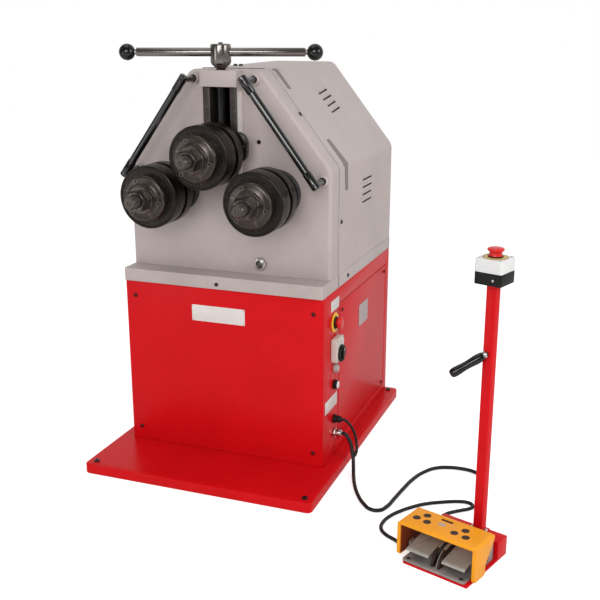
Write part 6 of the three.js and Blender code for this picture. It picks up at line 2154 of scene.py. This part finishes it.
@dataclass
class Pedals(Placed):
    """The pedal plate, the two treadles and their hood, made in the pedals' own frame."""

    place = PEDALS_PLACE
    low: float = 0.0053
    sheet: float = 0.006
    plate_half: float = 0.089
    plate_y: tuple[float, float] = (-0.180, -0.029)
    hood_half: float = 0.112
    hood_shift: float = -0.006
    hood_y: tuple[float, float] = (-0.160, -0.064)
    toe_z: float = 0.035
    leg_back: float = -0.106
    knee: float = 0.032
    top: float = 0.100
    wall: float = 0.009
    pivot: Cross = (-0.044, 0.050)
    dot: float = 0.0102

    def base(self) -> None:
        """Makes the galvanised plate with its screws and fins, and a light strip on one fin that is a painted
        highlight.
        """
        plate = self.refined("pedal_plate", 0.0006, 2)
        plate.name = "pedal_base"
        self.add(plate, Shop.ZINC, replaces=["pedal_plate"])
        y, z = self.pivot
        z1, toe, heel, ridge = self.low + self.sheet, self.plate_y[0] + 0.012, y + 0.008, z + 0.006
        across, along = self.plate_half - 0.014, self.plate_y[0] + 0.010
        spots = [Matrix.Translation((sx * across, along, z1)) for sx in SIDES]
        self.fasten(self.pan_head(0.0050), "pedal_screws", spots, Shop.OILED)
        arc = [i * math.pi / 16 for i in range(9)]
        rise, run = ridge - z1, 0.058
        outline = [(toe + run - run * math.cos(a), z1 + rise * math.sin(a)) for a in arc]
        outline += [(heel, ridge), (heel, z1)]
        fins = [Bench.plate("fin", outline, Way.X, x, x + 0.0075) for x in (-0.0135, 0.0050)]
        self.lay(Bench.join("pedal_fins", [Bench.soften(fin, 0.0009, 3) for fin in fins]), Shop.FIN)
        # Painted highlight: a light strip on the right fin's left face stands in for the light rim on its
        # edge.
        highlight = Bench.plate("fin_highlight_strip", outline, Way.X, 0.0034, 0.0049)
        self.lay(Bench.soften(highlight, 0.0003, 2), Shop.TREADLE)

    def treadle(self, side: int, name: str, body: str) -> None:
        """Makes one treadle: a sheet with a rolled eye and a rounded front lip."""
        y, z = self.pivot
        heel, back, toe, toe_z, t = z + 0.008 - 0.004, y + 0.004, -0.168, self.toe_z, 0.003
        arc = [i * math.pi / 12 for i in range(1, 7)]
        bend = toe + 0.006
        outer = [(bend - 0.006 * math.sin(a), toe_z + t - 0.007 * (1 - math.cos(a))) for a in arc]
        inner = [(bend - 0.003 * math.sin(a), toe_z - 0.003 * (1 - math.cos(a))) for a in reversed(arc)]
        outline = [(back, heel), (back, heel + t), (bend, toe_z + t), *outer, *inner, (bend, toe_z)]
        x, half = side * 0.051 - 0.001, 0.032
        plate = Bench.plate("treadle", outline, Way.X, x - half, x + half)
        eye = Bench.rod("eye", 0.008, x - half, x + half, Way.X, self.pivot, 32)
        bore = Bench.rod("bore", 0.0044, x - 0.04, x + 0.04, Way.X, self.pivot, 32)
        Bench.cut(Bench.fuse(plate, eye), bore)
        Bench.soften(plate, 0.0009, 3)
        plate.name = name + "_treadle"
        self.lay(plate, Shop.TREADLE, body, [name])

    def hood(self) -> None:
        """Makes the moulded hood with its slot and its bare plate."""
        half, w, top, shift = self.hood_half, self.wall, self.top, self.hood_shift
        (front, back), foot, leg = self.hood_y, self.low, self.leg_back
        side = [(front, foot), (leg, foot), (leg, self.knee), (back, top - 0.014), (back, top), (front, top)]
        shell = Bench.plate("hood_moulding", side, Way.X, -half, half, 0.006)
        Bench.enter(shell)
        near, high = half - 1e-4, top - 0.003
        Bench.pick(shell, "EDGE", lambda at, d: abs(at.x) > near and at.z > high and abs(d.x) < 1e-6)
        bpy.ops.mesh.bevel(offset=0.010, segments=5, affect="EDGES")
        Bench.done(shell)
        corner, x = (-half + w, front - PAST, foot - PAST), half - w
        through = Bench.block("through", corner, (x, back + PAST, top - 0.016))
        under = Bench.block("under", corner, (x, back - w, top - w))
        slot = Bench.block("slot", (-0.028, -0.091, top - 0.003), (0.006, -0.080, top + PAST))
        Bench.soften(Bench.cut(shell, through, under, slot), 0.0016, 3)
        self.lay(shell, Shop.YELLOW, replaces=["pedal_hood"], shift=shift)
        floor = Bench.block("slot_floor", (-0.0276, -0.0906, top - 0.0034), (0.0056, -0.0804, top - 0.0012))
        self.lay(Bench.soften(floor, 0.0003, 2), Shop.FIN, shift=shift)
        low, high = (-0.021, -0.116, top - 0.0004), (-0.004, -0.103, top + 0.0005)
        square = Bench.soften(Bench.block("hood_bare_plate", low, high), 0.0002, 2)
        self.lay(square, Shop.DULL_PLATE, shift=shift)

    def lining(self) -> None:
        """Makes the hood's slanted rear wall, the screen behind it and the inner faces of its side walls, all
        in a darker copy of the yellow that paints the inside's shade.
        """
        w, shift, back = self.wall, self.hood_shift, self.hood_y[1]
        x, under = self.hood_half - w, self.top - 0.009
        slant = [(back - 0.001, under), (back - 0.005, under), (-0.0855, 0.060), (-0.0815, 0.060)]
        wall = Bench.plate("hood_rear_wall", slant, Way.X, -x - 0.001, x + 0.001)
        self.lay(Bench.soften(wall, 0.0006, 2), Shop.SHADED_HOOD_INSIDE, shift=shift)
        slant = [(back - 0.002, under), (back - 0.004, under), (-0.036, 0.062), (-0.034, 0.062)]
        self.lay(Bench.plate("hood_screen", slant, Way.X, -x - 0.001, 0.020), Shop.SHADED_HOOD_INSIDE, shift=shift)
        y, leg = self.hood_y[0] + 0.004, self.leg_back - 0.003
        low, high = self.low + 0.003, self.top - w - 0.001
        side = [(y, low), (leg, low), (leg, self.knee), (back - w - 0.003, self.top - w - 0.008), (y, high)]
        cheek = [(y, low), (-0.058, low), (-0.044, 0.060), (back - 0.004, under), (y, high)]
        plates = []
        for sign, outline in ((-1, cheek), (1, side)):
            left, right = sorted((sign * (x + 0.0002), sign * (x - 0.0008)))
            plates.append(Bench.soften(Bench.plate("lining", outline, Way.X, left, right, 0.002), 0.0002, 1))
        self.lay(Bench.join("hood_shade_lining", plates), Shop.SHADED_HOOD_INSIDE, shift=shift)

    def dots(self) -> None:
        """Adds the dark dots on the hood's top."""
        low, high = self.top - 0.0004, self.top + 0.0003
        spots = [(-0.087, -0.118), (-0.071, -0.093), (-0.055, -0.121)]
        spots += [(0.026, -0.125), (0.043, -0.099), (0.059, -0.127)]
        dots = [Bench.rod("dot", self.dot, low, high, cross=spot, steps=36) for spot in spots]
        self.lay(Bench.join("hood_dots", dots), Shop.FIN)

    def build(self) -> None:
        """Makes the pedals."""
        self.base()
        self.treadle(-1, "left_pedal", "left_treadle")
        self.treadle(1, "right_pedal", "right_treadle")
        self.hood()
        self.lining()
        self.dots()


def main() -> None:
    """Builds the machine piece by piece."""
    logging.basicConfig(level=logging.INFO, format="%(name)s %(message)s")
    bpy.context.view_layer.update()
    studio = Studio()
    studio.camera()
    shop = Shop()
    Leads(shop).build()
    studio.build()
    BaseTray(shop).build()
    Cabinet(shop).build()
    Head(shop).build()
    turn = math.radians(110)
    RollSet(shop, turn=turn).build()
    for prefix, side in (("lower_left", -1), ("lower_right", 1)):
        cross = (side * LOWER_AXIS[0], LOWER_AXIS[1])
        LowerRollSet(shop, prefix, prefix + "_spindle", cross, turn).build()
    Slide(shop).build()
    SideRods(shop).build()
    Drive(shop).build()
    SideControls(shop).build()
    Stand(shop).build()
    Pedals(shop).build()


if __name__ == "__main__":
    main()
